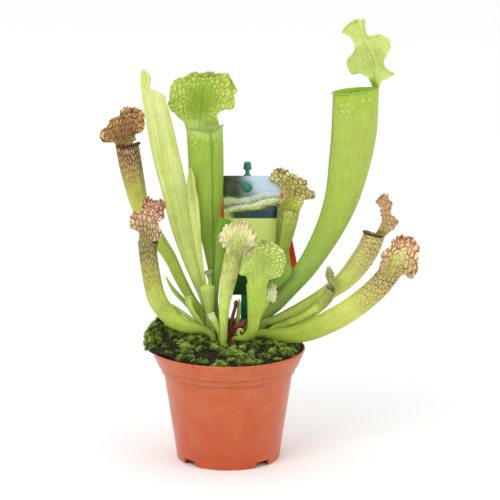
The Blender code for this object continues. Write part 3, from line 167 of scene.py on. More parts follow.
@dataclass(frozen=True)
class Viewer:
    """The camera's place, and the way from a spot in its view to a place in the frame."""

    place: tuple[float, float, float] = (0.0170, -2.528, 0.773)
    tilt: float = math.radians(76.5)
    lens: float = 241.9
    sensor: float = 36.0
    view_size: int = 500
    step_mm: float = 0.774

    def seen(self, across: Array, down: Array, depth: Array) -> Array:
        """Find what is seen at a spot of the view, at a depth.

        Args:
            across: Distance from the view's left edge, of 500.
            down: Distance from its upper edge, of 500.
            depth: Y in millimetres.

        Returns:
            Places round the pot's axis, in metres.
        """
        down_tilt = math.pi / 2 - self.tilt
        step = self.sensor / (self.lens * self.view_size)
        right = (np.asarray(across, float) - self.view_size / 2) * step
        rise = (self.view_size / 2 - np.asarray(down, float)) * step
        forward_y = math.cos(down_tilt) + rise * math.sin(down_tilt)
        forward_z = rise * math.cos(down_tilt) - math.sin(down_tilt)
        reach = (np.asarray(depth, float) * MM - self.place[1]) / forward_y
        return np.stack([
            self.place[0] + right * reach, self.place[1] + forward_y * reach,
            self.place[2] + forward_z * reach,
        ], axis=-1)


VIEWER = Viewer()


def add_node(tree: bpy.types.NodeTree, kind: str, inputs: dict | None = None, **settings) -> bpy.types.Node:
    """Add a node with its settings, values and links.

    Args:
        tree: The node tree.
        kind: Blender's name of the node type.
        inputs: For each input, by name or number, a value or the socket that feeds it.
        **settings: The node's own settings.

    Returns:
        The new node.
    """
    node = tree.nodes.new(kind)
    for name, value in settings.items():
        setattr(node, name, value)
    for key, value in (inputs or {}).items():
        if isinstance(value, Socket):
            tree.links.new(value, node.inputs[key])
        else:
            node.inputs[key].default_value = value
    return node


class Recipe:
    """The nodes of one material, with short calls for what its patterns are made of."""

    def __init__(self, name: str, **constants: float | tuple) -> None:
        """Start a material.

        Args:
            name: Its name, for the real stuff.
            **constants: Values of the shader's own sockets, underscores standing for spaces.
        """
        self.material = bpy.data.materials.new(name)
        self.material.use_nodes = True
        self.tree = self.material.node_tree
        self.shader = self.tree.nodes["Principled BSDF"]
        for key, value in constants.items():
            self.shader.inputs[key.replace("_", " ")].default_value = value

    def value(self, name: str) -> Socket:
        """Read a value that the mesh carries."""
        return add_node(self.tree, "ShaderNodeAttribute", attribute_name=name).outputs["Fac"]

    def flat_map(self, name: str = MAP_NAME) -> Socket:
        """Read one of the leaf's own maps, in metres round it and along it."""
        return add_node(self.tree, "ShaderNodeUVMap", uv_map=name).outputs["UV"]

    def place(self) -> Socket:
        """Read the place in the object, in metres."""
        return add_node(self.tree, "ShaderNodeTexCoord").outputs["Object"]

    def axes(self, source: Socket) -> bpy.types.NodeOutputs:
        """Split a vector into its X, Y and Z."""
        return add_node(self.tree, "ShaderNodeSeparateXYZ", {0: source}).outputs

    def stretched(
        self, source: Socket, sizes: float | Sequence[float], shift: Sequence[float] = (0, 0, 0),
    ) -> Socket:
        """Measure a map in pattern sizes.

        Args:
            source: The map or place, in metres.
            sizes: Length of one pattern step in millimetres, for all axes or each.
            shift: What is added, in steps.

        Returns:
            The measured vector.
        """
        lengths = (sizes,) * 3 if isinstance(sizes, (int, float)) else sizes
        scaled = add_node(self.tree, "ShaderNodeVectorMath", {
            0: source, 1: tuple(1 / (length * MM) for length in lengths), 2: shift,
        }, operation="MULTIPLY_ADD")
        return scaled.outputs[0]

    def noise(
        self, source: Socket, sizes: float | Sequence[float], detail: float = 2.0,
        roughness: float = 0.5, shift: Sequence[float] = (0, 0, 0), colour: bool = False,
    ) -> Socket:
        """Soft noise, near 0 to 1, over a map or place measured as in stretched."""
        node = add_node(self.tree, "ShaderNodeTexNoise", {
            "Vector": self.stretched(source, sizes, shift), "Scale": 1.0, "Detail": detail,
            "Roughness": roughness,
        })
        return node.outputs["Color" if colour else "Fac"]

    def crumbs(self, sizes: float | Sequence[float]) -> Socket:
        """Distance from the middle of the nearest of many strewn crumbs, in crumb sizes."""
        node = add_node(self.tree, "ShaderNodeTexVoronoi", {
            "Vector": self.stretched(self.place(), sizes), "Scale": 1.0,
        })
        return node.outputs["Distance"]

    def fade(
        self, source: Socket, low: float, high: float, start: float = 0.0, end: float = 1.0,
    ) -> Socket:
        """Turn a value between low and high smoothly into one between start and end."""
        node = add_node(self.tree, "ShaderNodeMapRange", {
            "Value": source, "From Min": low, "From Max": high, "To Min": start, "To Max": end,
        }, interpolation_type="SMOOTHSTEP")
        return node.outputs["Result"]

    def maths(self, operation: str, first: object, second: object = 0.0) -> Socket:
        """Join two values by a sum, product or the like."""
        node = add_node(self.tree, "ShaderNodeMath", {0: first, 1: second}, operation=operation)
        return node.outputs[0]

    def product(self, *factors: object) -> Socket:
        """Multiply several values."""
        result = factors[0]
        for factor in factors[1:]:
            result = self.maths("MULTIPLY", result, factor)
        return result

    def between(self, share: object, first: object, second: object) -> Socket:
        """Blend two values by a share."""
        return add_node(self.tree, "ShaderNodeMix", {0: share, 2: first, 3: second}).outputs[0]

    def blend(self, share: object, first: object, second: object) -> Socket:
        """Blend two colours by a share.

        Args:
            share: How much of the second shows, a value or a socket.
            first: Socket, or hex colour.
            second: Socket, or hex colour.

        Returns:
            The blended colour.
        """
        below, above = (linear(item) if isinstance(item, str) else item for item in (first, second))
        node = add_node(self.tree, "ShaderNodeMix", {0: share, 6: below, 7: above}, data_type="RGBA")
        return node.outputs[2]

    def along(
        self, source: Socket, stops: Stops | Amounts, reach: float = 1.0,
    ) -> Socket:
        """Read a colour or an amount off a scale of stops.

        Args:
            source: Place on the scale.
            stops: (place, hex colour) or (place, amount), in order.
            reach: The scale's end, which the ramp's 1 stands for.

        Returns:
            Colour socket, which also serves as a value.
        """
        share = self.maths("DIVIDE", source, reach)
        node = add_node(self.tree, "ShaderNodeValToRGB", {"Fac": share})
        elements = node.color_ramp.elements
        while len(elements) < len(stops):
            elements.new(1.0)
        for element, (place, shown) in zip(elements, stops):
            element.position = place / reach
            element.color = linear(shown) if isinstance(shown, str) else (shown, shown, shown, 1.0)
        return node.outputs["Color"]

    def shaded(self, colour: Socket, brightness: object, hue: object = 0.5) -> Socket:
        """Change a colour's brightness and hue."""
        inputs = {"Hue": hue, "Value": brightness, "Color": colour}
        return add_node(self.tree, "ShaderNodeHueSaturation", inputs).outputs["Color"]

    def finish(
        self, colour: Socket, roughness: Socket, height: Socket,
        depth: float,
    ) -> bpy.types.Material:
        """Wire the patterns to the shader.

        Args:
            colour: Surface colour.
            roughness: Surface roughness.
            height: Relief, 0 to 1.
            depth: What a relief of 1 stands for, in metres.

        Returns:
            The material.
        """
        bump = add_node(self.tree, "ShaderNodeBump", {"Height": height, "Distance": depth, "Strength": 1.0})
        self.tree.links.new(colour, self.shader.inputs["Base Color"])
        self.tree.links.new(roughness, self.shader.inputs["Roughness"])
        self.tree.links.new(bump.outputs["Normal"], self.shader.inputs["Normal"])
        return self.material


@dataclass(frozen=True)
class LeafFinish:
    """Living leaf: a waxy skin with veins that run along it and fan out, a net between them and pale windows.

    Places along a leaf run from 0 at the foot over 1 at the mouth to 2 at the hood's tip.
    """

    name: str
    tint: Stops
    margin_tint: str = "#D8E09A"
    margin_share: float = 0.0
    veins: Stops = ((0, "#7A3A2C"), (TIP, "#7A3A2C"))
    rib_width: float = 0.10
    midrib_clear: float = 0.0
    rib_amounts: Amounts = NONE
    rib_gap: float = 2.4
    net_amounts: Amounts = NONE
    windows: str = "#E4EDB0"
    window_amounts: Amounts = NONE
    window_start: float = 0.16
    tube_window_start: float = 0.16
    window_margin: float = 0.0
    window_from: float = 0.45
    tube_cell: tuple[float, float] = (2.0, 7.0)
    hood_cell: tuple[float, float] = (2.4, 3.4)
    vein_width: float = 0.09
    bands: str = "#E4EDB0"
    band_share: float = 0.0
    band_width: float = 1.8
    lip: str = "#9CBB45"
    keel: str = "#5E8A2A"
    keel_share: float = 0.35
    left_shade: float = 0.0
    streaks: float = 0.10
    blotches: float = 0.08
    roughness: float = 0.45
    glow: float = 0.12

    def net(self, recipe: Recipe, flat: Socket, cell: tuple[float, float]) -> Socket:
        """Distance to the nearest vein of the net, in cells.

        Args:
            recipe: The material in work.
            flat: The leaf's map.
            cell: Width and length of one cell, in millimetres.

        Returns:
            The distance.
        """
        measured = recipe.stretched(flat, (*cell, FLAT))
        wobble = recipe.noise(flat, (cell[0] * 1.1, cell[1] * 0.8, FLAT), colour=True)
        bent = add_node(recipe.tree, "ShaderNodeVectorMath", {
            0: wobble, 1: (0.45, 0.45, 0.0), 2: measured,
        }, operation="MULTIPLY_ADD").outputs[0]
        cells = add_node(recipe.tree, "ShaderNodeTexVoronoi", {
            "Vector": bent, "Scale": 1.0, "Randomness": 0.95,
        }, voronoi_dimensions="2D", feature="DISTANCE_TO_EDGE")
        return cells.outputs["Distance"]

    def ribs(self, recipe: Recipe, flat: Socket) -> Socket:
        """Thin wavy lines that run along the tube and fan out in the hood.

        Args:
            recipe: The material in work.
            flat: The leaf's map.

        Returns:
            1 on a line, 0 beside it.
        """
        fan = recipe.axes(recipe.flat_map(VEIN_MAP))["X"]
        wave = recipe.noise(flat, (5, 11, FLAT), shift=(3, 8, 0))
        place = recipe.maths("ADD", recipe.maths("DIVIDE", fan, self.rib_gap * MM), recipe.product(wave, 0.9))
        tube = recipe.maths("PINGPONG", place, 0.5)
        doubled = recipe.maths("PINGPONG", recipe.product(place, 2.0), 0.5)
        fanned = recipe.product(doubled, 0.5, recipe.value("spread"))
        distance = recipe.between(recipe.fade(recipe.value("rise"), 1.0, 1.05), tube, fanned)
        strong = recipe.noise(flat, (3, 9, FLAT), detail=1.0, shift=(1, 5, 0))
        line = recipe.fade(distance, self.rib_width * 0.2, self.rib_width, 1.0, 0.0)
        return recipe.product(line, recipe.fade(strong, 0.3, 0.6, 0.35, 1.0))

    def material(self) -> bpy.types.Material:
        """Make the material, once for each finish."""
        made = bpy.data.materials.get(self.name)
        if made:
            return made
        recipe = Recipe(
            self.name, Subsurface_Weight=self.glow, Subsurface_Radius=(1.0, 1.2, 0.3),
            Subsurface_Scale=0.0025, Specular_IOR_Level=0.35,
        )
        flat = recipe.flat_map()
        rise = recipe.value("rise")
        near = recipe.value("margin")
        margin = recipe.fade(near, 0.2, 0.95)
        in_hood = recipe.fade(rise, 1.0, 1.05)

        colour = recipe.along(rise, self.tint, TIP)
        edge = recipe.product(margin, in_hood, self.margin_share)
        colour = recipe.blend(edge, colour, self.margin_tint)
        band = recipe.noise(flat, (self.band_width, 80, FLAT), detail=1.0)
        band = recipe.fade(band, 0.35, 0.65)
        colour = recipe.blend(recipe.product(band, self.band_share), colour, self.bands)
        streak = recipe.noise(flat, (0.6, 16, FLAT), detail=3.0, shift=(7, 3, 0))
        blotch = recipe.noise(recipe.place(), 9, detail=4.0, roughness=0.6)
        bright = recipe.maths(
            "ADD", recipe.fade(streak, 0.25, 0.75, 1 - self.streaks, 1 + self.streaks),
            recipe.fade(blotch, 0.3, 0.7, -self.blotches, self.blotches),
        )
        # Painted shade: the strip on the viewer's left of the keel is darkened
        shade = recipe.product(recipe.value("aside"), self.left_shade)
        bright = recipe.product(bright, recipe.maths("SUBTRACT", 1.0, shade))
        colour = recipe.shaded(colour, bright, recipe.fade(blotch, 0.3, 0.7, 0.492, 0.508))

        distance = recipe.between(
            in_hood, self.net(recipe, flat, self.tube_cell), self.net(recipe, flat, self.hood_cell),
        )
        net = recipe.fade(distance, self.vein_width * 0.3, self.vein_width, 1.0, 0.0)
        patch = recipe.fade(recipe.noise(recipe.place(), 6, shift=(4, 4, 1)), 0.3, 0.6, 0.5, 1.0)
        ribs = recipe.product(self.ribs(recipe, flat), recipe.along(rise, self.rib_amounts, TIP))
        net = recipe.product(net, recipe.along(rise, self.net_amounts, TIP), patch)
        vein = recipe.maths("MAXIMUM", ribs, net)
        clear = recipe.product(recipe.fade(near, 0.05, 0.45, self.midrib_clear, 0.0), in_hood)
        vein = recipe.product(vein, recipe.maths("SUBTRACT", 1.0, clear))
        start = recipe.between(in_hood, self.tube_window_start, self.window_start)
        window = recipe.fade(recipe.maths("SUBTRACT", distance, start), 0.0, 0.16)
        outer = recipe.fade(near, self.window_from, self.window_from + 0.5)
        shown = recipe.maths("ADD", 1 - self.window_margin, recipe.product(outer, self.window_margin))
        shown = recipe.between(in_hood, 1.0, shown)
        window = recipe.product(window, recipe.along(rise, self.window_amounts, TIP), shown)
        colour = recipe.blend(window, colour, self.windows)
        colour = recipe.blend(vein, colour, recipe.along(rise, self.veins, TIP))
        # The keel's own dark line, and on hoods the painted shade line along the midrib's fold
        colour = recipe.blend(recipe.product(recipe.value("keel"), self.keel_share), colour, self.keel)
        colour = recipe.blend(recipe.value("lip"), colour, self.lip)

        roughness = recipe.fade(streak, 0.2, 0.8, self.roughness - 0.06, self.roughness + 0.1)
        relief = recipe.maths("ADD", recipe.product(vein, -0.5), recipe.product(streak, 0.35))
        relief = recipe.maths("ADD", relief, recipe.product(window, 0.35))
        return recipe.finish(colour, roughness, relief, 0.22 * MM)


@dataclass(frozen=True)
class PotFinish:
    """Moulded terracotta-coloured plastic, a little dusty, with smears, peat specks and painted groove shade.
    """

    name: str = "terracotta_plastic"
    low: str = "#BC4C1C"
    high: str = "#BE5828"
    dust: str = "#C98A68"
    peat: str = "#3A2418"

    def material(self, top: float, foot: float, band: float, axis_x: float) -> bpy.types.Material:
        """Make the material.

        Args:
            top: Height of the rim.
            foot: Height of the collar's foot, with a dark line in the groove: painted shade, partly peat stain.
            band: Height of the band above it, where a second groove lies with the same painted line.
            band: Height of the band above it, where a second groove lies.
            axis_x: X of the pot's axis.

        Returns:
            The material.
        """
        recipe = Recipe(self.name, Specular_IOR_Level=0.5)
        place = recipe.place()
        axes = recipe.axes(place)
        height = axes["Z"]
        colour = recipe.along(height, ((0.0, self.low), (top * 0.75, self.high), (top, self.high)), top)
        cloud = recipe.noise(place, 16, detail=4.0, roughness=0.6)
        colour = recipe.blend(recipe.fade(cloud, 0.4, 0.75, 0.0, 0.22), colour, self.dust)
        flow = recipe.noise(place, (5, 5, 11), detail=4.0)
        colour = recipe.shaded(colour, recipe.fade(flow, 0.25, 0.75, 0.95, 1.05))
        right = recipe.fade(axes["X"], axis_x - 0.02, axis_x + 0.045, 0.15, 1.0)
        near_rim = recipe.fade(height, top - 0.036, top - 0.012, 0.05, 1.0)
        smear = recipe.noise(place, (3.2, 3.2, 2.0), detail=5.0, roughness=0.65)
        smear = recipe.product(recipe.fade(smear, 0.58, 0.67), right, near_rim, 0.8)
        lone = recipe.fade(recipe.noise(place, 9, shift=(5, 1, 2)), 0.53, 0.58)
        speck = recipe.product(recipe.fade(recipe.crumbs(4.5), 0.13, 0.18, 1.0, 0.0), lone)
        dirt_and_groove_shade = recipe.maths("MAXIMUM", smear, recipe.product(speck, near_rim, 0.9))
        # Thin dark lines in the peat colour along the collar's two grooves: painted shade under the steps,
        # partly peat stain
        for line, strength in ((foot, 0.6), (foot + band, 0.7)):
            offset = recipe.maths("ABSOLUTE", recipe.maths("SUBTRACT", height, line))
            groove = recipe.fade(offset, 0.0001, 0.0006, strength, 0.0)
            dirt_and_groove_shade = recipe.maths("MAXIMUM", dirt_and_groove_shade, groove)
        colour = recipe.blend(dirt_and_groove_shade, colour, self.peat)
        grain = recipe.noise(place, 0.5)
        roughness = recipe.maths("ADD", recipe.fade(cloud, 0.3, 0.7, 0.24, 0.38), recipe.product(dirt_and_groove_shade, 0.4))
        relief = recipe.maths("ADD", recipe.product(grain, 0.25), recipe.product(dirt_and_groove_shade, 1.0))
        return recipe.finish(colour, roughness, relief, 0.12 * MM)


@dataclass(frozen=True)
class EarthFinish:
    """Crumbly matter: peat, bark or the dark mat under the moss."""

    name: str
    dark: str
    mid: str
    light: str
    grain: float = 1.6
    stretch: float = 1.0

    def material(self) -> bpy.types.Material:
        """Make the material."""
        recipe = Recipe(self.name, Specular_IOR_Level=0.25)
        place = recipe.place()
        size = self.grain
        twice = (size * 2, size * 2, size * 2 * self.stretch)
        coarse = recipe.noise(place, twice, detail=4.0, roughness=0.65)
        fine = recipe.noise(place, size * 0.4, detail=3.0)
        crumbs = recipe.crumbs((size, size, size * self.stretch))
        mixed = recipe.maths("ADD", recipe.product(coarse, 0.7), recipe.product(fine, 0.3))
        colour = recipe.along(mixed, ((0.30, self.dark), (0.52, self.mid), (0.72, self.light)))
        # Darker between the crumbs: painted shade in the gaps
        gap = recipe.fade(crumbs, 0.35, 0.75, 0.0, 0.6)
        colour = recipe.blend(gap, colour, self.dark)
        relief = recipe.maths("SUBTRACT", mixed, recipe.product(crumbs, 0.6))
        return recipe.finish(colour, recipe.fade(fine, 0.2, 0.8, 0.75, 0.98), relief, 0.6 * MM)


@dataclass(frozen=True)
class MossFinish:
    """Moss leaves: dark at the foot, fresh green at the tip, each tuft its own shade."""

    name: str = "moss_leaves"
    foot: str = "#16240A"
    middle: str = "#7A9C26"
    tip: str = "#DEEC86"
    shaded_tip: str = "#7EA430"

    def material(self) -> bpy.types.Material:
        """Make the material."""
        recipe = Recipe(
            self.name, Subsurface_Weight=0.08, Subsurface_Radius=(0.6, 1.0, 0.2), Subsurface_Scale=0.001,
            Specular_IOR_Level=0.35,
        )
        tip = recipe.value("tip")
        shade = recipe.value("tuft_shade")
        bright = recipe.along(tip, ((0.0, self.foot), (0.45, self.middle), (1.0, self.tip)))
        dull = recipe.along(tip, ((0.0, self.foot), (0.6, self.middle), (1.0, self.shaded_tip)))
        colour = recipe.blend(recipe.fade(shade, 0.25, 0.7), dull, bright)
        patch = recipe.noise(recipe.place(), 7, detail=3.0)
        hue = recipe.fade(shade, 0, 1, 0.49, 0.51)
        colour = recipe.shaded(colour, recipe.fade(patch, 0.3, 0.7, 0.72, 1.34), hue)
        grain = recipe.noise(recipe.place(), 0.3)
        return recipe.finish(colour, recipe.fade(grain, 0.2, 0.8, 0.45, 0.65), grain, 0.05 * MM)


@dataclass(frozen=True)
class StakeFinish:
    """Deep green moulded plastic with a soft gloss."""

    name: str = "stake_plastic"
    dark: str = "#0B5A3A"
    light: str = "#14926A"

    def material(self) -> bpy.types.Material:
        """Make the material."""
        recipe = Recipe(self.name, Specular_IOR_Level=0.5, Coat_Weight=0.2, Coat_Roughness=0.15)
        place = recipe.place()
        cloud = recipe.noise(place, (5, 5, 22), detail=3.0)
        colour = recipe.along(cloud, ((0.3, self.dark), (0.7, self.light)))
        grain = recipe.noise(place, 0.4)
        return recipe.finish(colour, recipe.fade(cloud, 0.3, 0.7, 0.24, 0.38), grain, 0.04 * MM)


@dataclass(frozen=True)
class CardFinish:
    """Printed plastic card: red side edges, soft bands of field and sky, a lime panel and a dark foot."""

    name: str = "printed_card"
    edge: str = "#F4442E"
    lime: str = "#DAEC7C"
    foot: str = "#1D4A24"
    sky: str = "#C4DCEE"
    reeds: str = "#C9CCBA"
    bands: Stops = (
        (0.0, "#1E3A5E"), (0.16, "#2E4E3A"), (0.24, "#C9D97A"), (0.36, "#F1F4D6"), (0.44, "#3B5A2C"),
        (0.50, "#B9CF62"), (0.62, "#EEF2C8"), (0.70, "#45682C"), (0.80, "#22401C"), (1.0, "#2E4426"),
    )

    def material(self, card: "Label", axis_x: float) -> bpy.types.Material:
        """Make the material.

        Args:
            card: The label's sizes.
            axis_x: X of the pot's axis.

        Returns:
            The material.
        """
        recipe = Recipe(self.name, Specular_IOR_Level=0.5, Coat_Weight=0.35, Coat_Roughness=0.12)
        place = recipe.place()
        axes = recipe.axes(place)
        across, height = axes["X"], axes["Z"]
        share = recipe.fade(height, card.panel_top, card.top)
        wave = recipe.noise(place, (22, FLAT, 9))
        slope = recipe.maths("MULTIPLY", recipe.maths("SUBTRACT", across, axis_x), -7.0)
        drawn = recipe.maths("ADD", recipe.maths("ADD", share, slope), recipe.product(wave, 0.42))
        picture = recipe.along(drawn, self.bands)
        haze = recipe.product(
            recipe.fade(height, card.top - 0.021, card.top - 0.010, 0.0, 0.95),
            recipe.fade(across, axis_x + 0.006, axis_x + 0.020),
        )
        shrubs = recipe.noise(place, (1.5, FLAT, 1.1), detail=5.0, roughness=0.7)
        picture = recipe.shaded(picture, recipe.fade(shrubs, 0.35, 0.65, 0.55, 1.35))
        picture = recipe.blend(haze, picture, self.sky)
        leaning = add_node(recipe.tree, "ShaderNodeVectorRotate", {
            "Vector": place, "Angle": math.radians(48),
        }, rotation_type="Y_AXIS").outputs[0]
        reeds = recipe.noise(leaning, (0.5, FLAT, 9))
        field_band = recipe.product(recipe.fade(drawn, 0.36, 0.46), recipe.fade(drawn, 0.62, 0.72, 1.0, 0.0))
        picture = recipe.blend(
            recipe.product(recipe.fade(reeds, 0.48, 0.54), field_band, 0.9), picture, self.reeds,
        )
        below = recipe.fade(height, card.panel_top - 0.0003, card.panel_top + 0.0003, 1.0, 0.0)
        colour = recipe.blend(below, picture, self.lime)
        low = recipe.fade(height, card.foot_top - 0.0003, card.foot_top + 0.0003, 1.0, 0.0)
        colour = recipe.blend(low, colour, self.foot)
        left = recipe.maths("SUBTRACT", across, card.edge_line(height, recipe, axis_x, -1))
        right = recipe.maths("SUBTRACT", card.edge_line(height, recipe, axis_x, 1), across)
        nearest = recipe.maths("MINIMUM", left, right)
        rim = recipe.product(
            recipe.fade(nearest, card.stripe, card.stripe + 0.0004, 1.0, 0.0),
            recipe.fade(height, card.stripe_top - 0.001, card.stripe_top, 1.0, 0.0),
        )
        colour = recipe.blend(rim, colour, self.edge)
        grain = recipe.noise(place, 0.35)
        return recipe.finish(colour, recipe.fade(grain, 0.2, 0.8, 0.26, 0.36), grain, 0.02 * MM)


class Skin:
    """Sheets of quads that are sewn into one mesh, with a map and values for the finish."""

    VALUES = {"rise": 0.0, "margin": 0.0, "keel": 0.0, "aside": 0.0, "lip": 0.0, "spread": 1.0}

    def __init__(self, name: str) -> None:
        """Start an empty skin for the piece of that name."""
        self.name = name
        self.points: list[Array] = []
        self.maps: dict[str, list[Array]] = {MAP_NAME: [], VEIN_MAP: []}
        self.quads: list[Array] = []
        self.values: dict[str, list[Array]] = {value: [] for value in self.VALUES}
        self.count = 0

    def add_sheet(
        self, points: Array, flat: Array, fan: Array | None = None, **values: Array | float,
    ) -> None:
        """Add a grid of points as a sheet.

        Args:
            points: Array (rows, columns, 3), in metres.
            flat: Array (rows, columns, 2), the leaf's map.
            fan: The same for the veins that fan out, where they differ.
            **values: Any of VALUES, one number or an array (rows, columns).
        """
        rows, columns = points.shape[:2]
        index = np.arange(rows * columns).reshape(rows, columns) + self.count
        self.quads.append(
            np.stack([index[:-1, :-1], index[:-1, 1:], index[1:, 1:], index[1:, :-1]], axis=-1).reshape(-1, 4)
        )
        self.points.append(points.reshape(-1, 3))
        self.maps[MAP_NAME].append(flat.reshape(-1, 2))
        self.maps[VEIN_MAP].append((flat if fan is None else fan).reshape(-1, 2))
        for value in self.VALUES:
            shown = np.broadcast_to(values.get(value, self.VALUES[value]), (rows, columns))
            self.values[value].append(shown.reshape(-1))
        self.count += rows * columns

    def sew(self, material: bpy.types.Material, shift: Vector) -> Piece:
        """Make the object.

        Args:
            material: Its finish.
            shift: From the pot's axis to its place in the frame.

        Returns:
            The object, at the origin.
        """
        points = np.vstack(self.points) + np.array(shift)
        quads = np.vstack(self.quads)
        mesh = bpy.data.meshes.new(self.name + "_skin")
        mesh.from_pydata(points.tolist(), [], quads.tolist())
        for title, parts in self.maps.items():
            uv = mesh.uv_layers.new(name=title)
            uv.data.foreach_set("uv", np.vstack(parts)[quads.ravel()].astype(np.float32).ravel())
        for value, parts in self.values.items():
            attribute = mesh.attributes.new(value, "FLOAT", "POINT")
            attribute.data.foreach_set("value", np.concatenate(parts).astype(np.float32))
        sewn = bmesh.new()
        sewn.from_mesh(mesh)
        bmesh.ops.remove_doubles(sewn, verts=sewn.verts[:], dist=2e-6)
        bmesh.ops.recalc_face_normals(sewn, faces=sewn.faces[:])
        sewn.to_mesh(mesh)
        sewn.free()
        mesh.materials.append(material)
        mesh.shade_smooth()
        mesh.set_sharp_from_angle(angle=math.radians(70))
        made = bpy.data.objects.new(self.name + "_skin", mesh)
        bpy.context.collection.objects.link(made)
        return made


class Ending(Enum):
    """How a leaf without a hood ends."""

    POINT = "point"
    ROUND_MOUTH = "round mouth"
    CUT = "cut"


@dataclass(frozen=True)
class Hood:
    """A ruffled hood, drawn row by row from the neck to the tip.

    rows: (left across, left down, midrib across, down, depth, right across, right down), the depth in
    millimetres behind the pot's axis. turn: how much nearer the right side lies for each step across.
    near_left, near_right: how much nearer than the midrib an edge lies, in millimetres, for all rows or each.
    """

    rows: tuple[tuple[float, ...], ...]
    columns: int = 48
    steps: int = 7
    turn: float = 0.0
    near_left: float | tuple[float, ...] = 0.0
    near_right: float | tuple[float, ...] = 0.0
    ruffle: float = 1.2
    waves: float = 16.0
    phase: float = 0.0
    frill: float = 0.5
    fray: float = 0.8
    crease: float = 0.0
    # Strength of a dark line painted along the midrib as the shade of the hood's fold
    midrib_fold_shade: float = 0.0
    thickness: float = 0.45
    # Share of the hood's height above which its end counts as margin too
    brow: float = 0.45
    # Nearness to the margin from which the waves, the fine frill and the ragged teeth begin
    wave_start: float = 0.45
    frill_start: float = 0.82
    tooth_start: float = 0.72
    crease_width: float = 0.16

    def edges(self) -> tuple[Array, Array, Array]:
        """Places of the left edge, the midrib and the right edge, row by row."""
        table = np.array(self.rows, float)
        depth = table[:, 4]
        turn = self.turn * VIEWER.step_mm
        left_depth = depth + turn * (table[:, 2] - table[:, 0]) - np.array(self.near_left)
        right_depth = depth - turn * (table[:, 5] - table[:, 2]) - np.array(self.near_right)
        return (
            VIEWER.seen(table[:, 0], table[:, 1], left_depth), VIEWER.seen(table[:, 2], table[:, 3], depth),
            VIEWER.seen(table[:, 5], table[:, 6], right_depth),
        )

    def sheet(self, rim: Array, facing: Array) -> tuple[Array, ...]:
        """Lay the hood's outer face from the rim of the tube.

        Args:
            rim: Outer rim where the hood grows, from the viewer's left to the right.
            facing: Direction that the mouth faces.

        Returns:
            Points (rows, columns, 3), their inward normals, and for each point its share across, its share
            up, its nearness to the margin and its way along the midrib.
        """
        left, middle, right = self.edges()
        centre = len(rim) // 2
        left = smooth_curve(np.vstack([rim[:1], left]), self.steps)
        middle = smooth_curve(np.vstack([rim[centre:centre + 1], middle]), self.steps)
        right = smooth_curve(np.vstack([rim[-1:], right]), self.steps)
        rows, columns = len(left), len(rim)
        u = np.linspace(-1, 1, columns)
        v = np.linspace(0, 1, rows)
        t = np.abs(u)[None, :, None]
        slope = unit(right - left)
        halves = []
        for edge, sign in ((left, -1), (right, 1)):
            reach = np.linalg.norm(edge - middle, axis=1)[:, None]
            start = (sign * slope * reach)[:, None, :]
            end = (edge - middle)[:, None, :]
            halves.append(bent_line(t, middle[:, None, :], edge[:, None, :], start, end))
        points = np.where(u[None, :, None] < 0, halves[0], halves[1])
        fade = (1 - smooth_step(0.0, 1.4 / len(self.rows), v))[:, None, None]
        points = points + (rim - points[0])[None] * fade

        normals = self.normals(points, facing)
        across, up = np.meshgrid(u, v)
        edge = np.hypot(across * 0.98, np.clip(up - self.brow, 0, 1) / (1 - self.brow))
        turn = np.arctan2(up - 0.35, across)
        uneven = np.array([
            [noise.noise(Vector((3.1 * a, 3.1 * b, 7.0 * self.phase + 2.0))) for a, b in zip(line_a, line_b)]
            for line_a, line_b in zip(across, up)
        ])
        angle = self.waves * turn + self.phase + 2.6 * uneven
        wave = 0.55 * np.sin(angle * 0.45 + 0.8) + 0.7 * np.sin(angle) + 0.25 * np.sin(2.1 * angle + 1.0)
        fine = np.sin(3.3 * angle + 0.6) * smooth_step(self.frill_start, 1.0, edge)
        strength = smooth_step(self.wave_start, 1.0, edge) * smooth_step(0.02, 0.22, up)
        fold = self.crease * np.exp(-((across / self.crease_width) ** 2)) * smooth_step(0.0, 0.2, up) * (1 - up)
        waved = MM * (strength * (self.ruffle * wave + self.frill * fine) + fold)
        points = points + normals * waved[..., None]
        aside = unit(np.gradient(points, axis=1))
        upward = unit(np.gradient(points, axis=0))
        outward = unit(aside * across[..., None] + upward * np.clip(up - self.brow, 0, 1)[..., None] * 1.8)
        tooth = 0.6 * np.sin(1.7 * angle + 2.0) + 0.5 * np.sin(4.1 * angle) + 0.5 * uneven
        ragged = MM * self.fray * tooth * smooth_step(self.tooth_start, 1.0, edge) * smooth_step(0.02, 0.15, up)
        points = points + outward * ragged[..., None]
        return points, self.normals(points, facing), across, up, np.clip(edge, 0, 1), way_along(middle)

    @staticmethod
    def normals(points: Array, facing: Array) -> Array:
        """Unit normals of a sheet, on the side that the mouth faces."""
        normals = unit(np.cross(np.gradient(points, axis=1), np.gradient(points, axis=0)))
        middle = normals[points.shape[0] // 2, points.shape[1] // 2]
        return -normals if float(middle @ facing) < 0 else normals


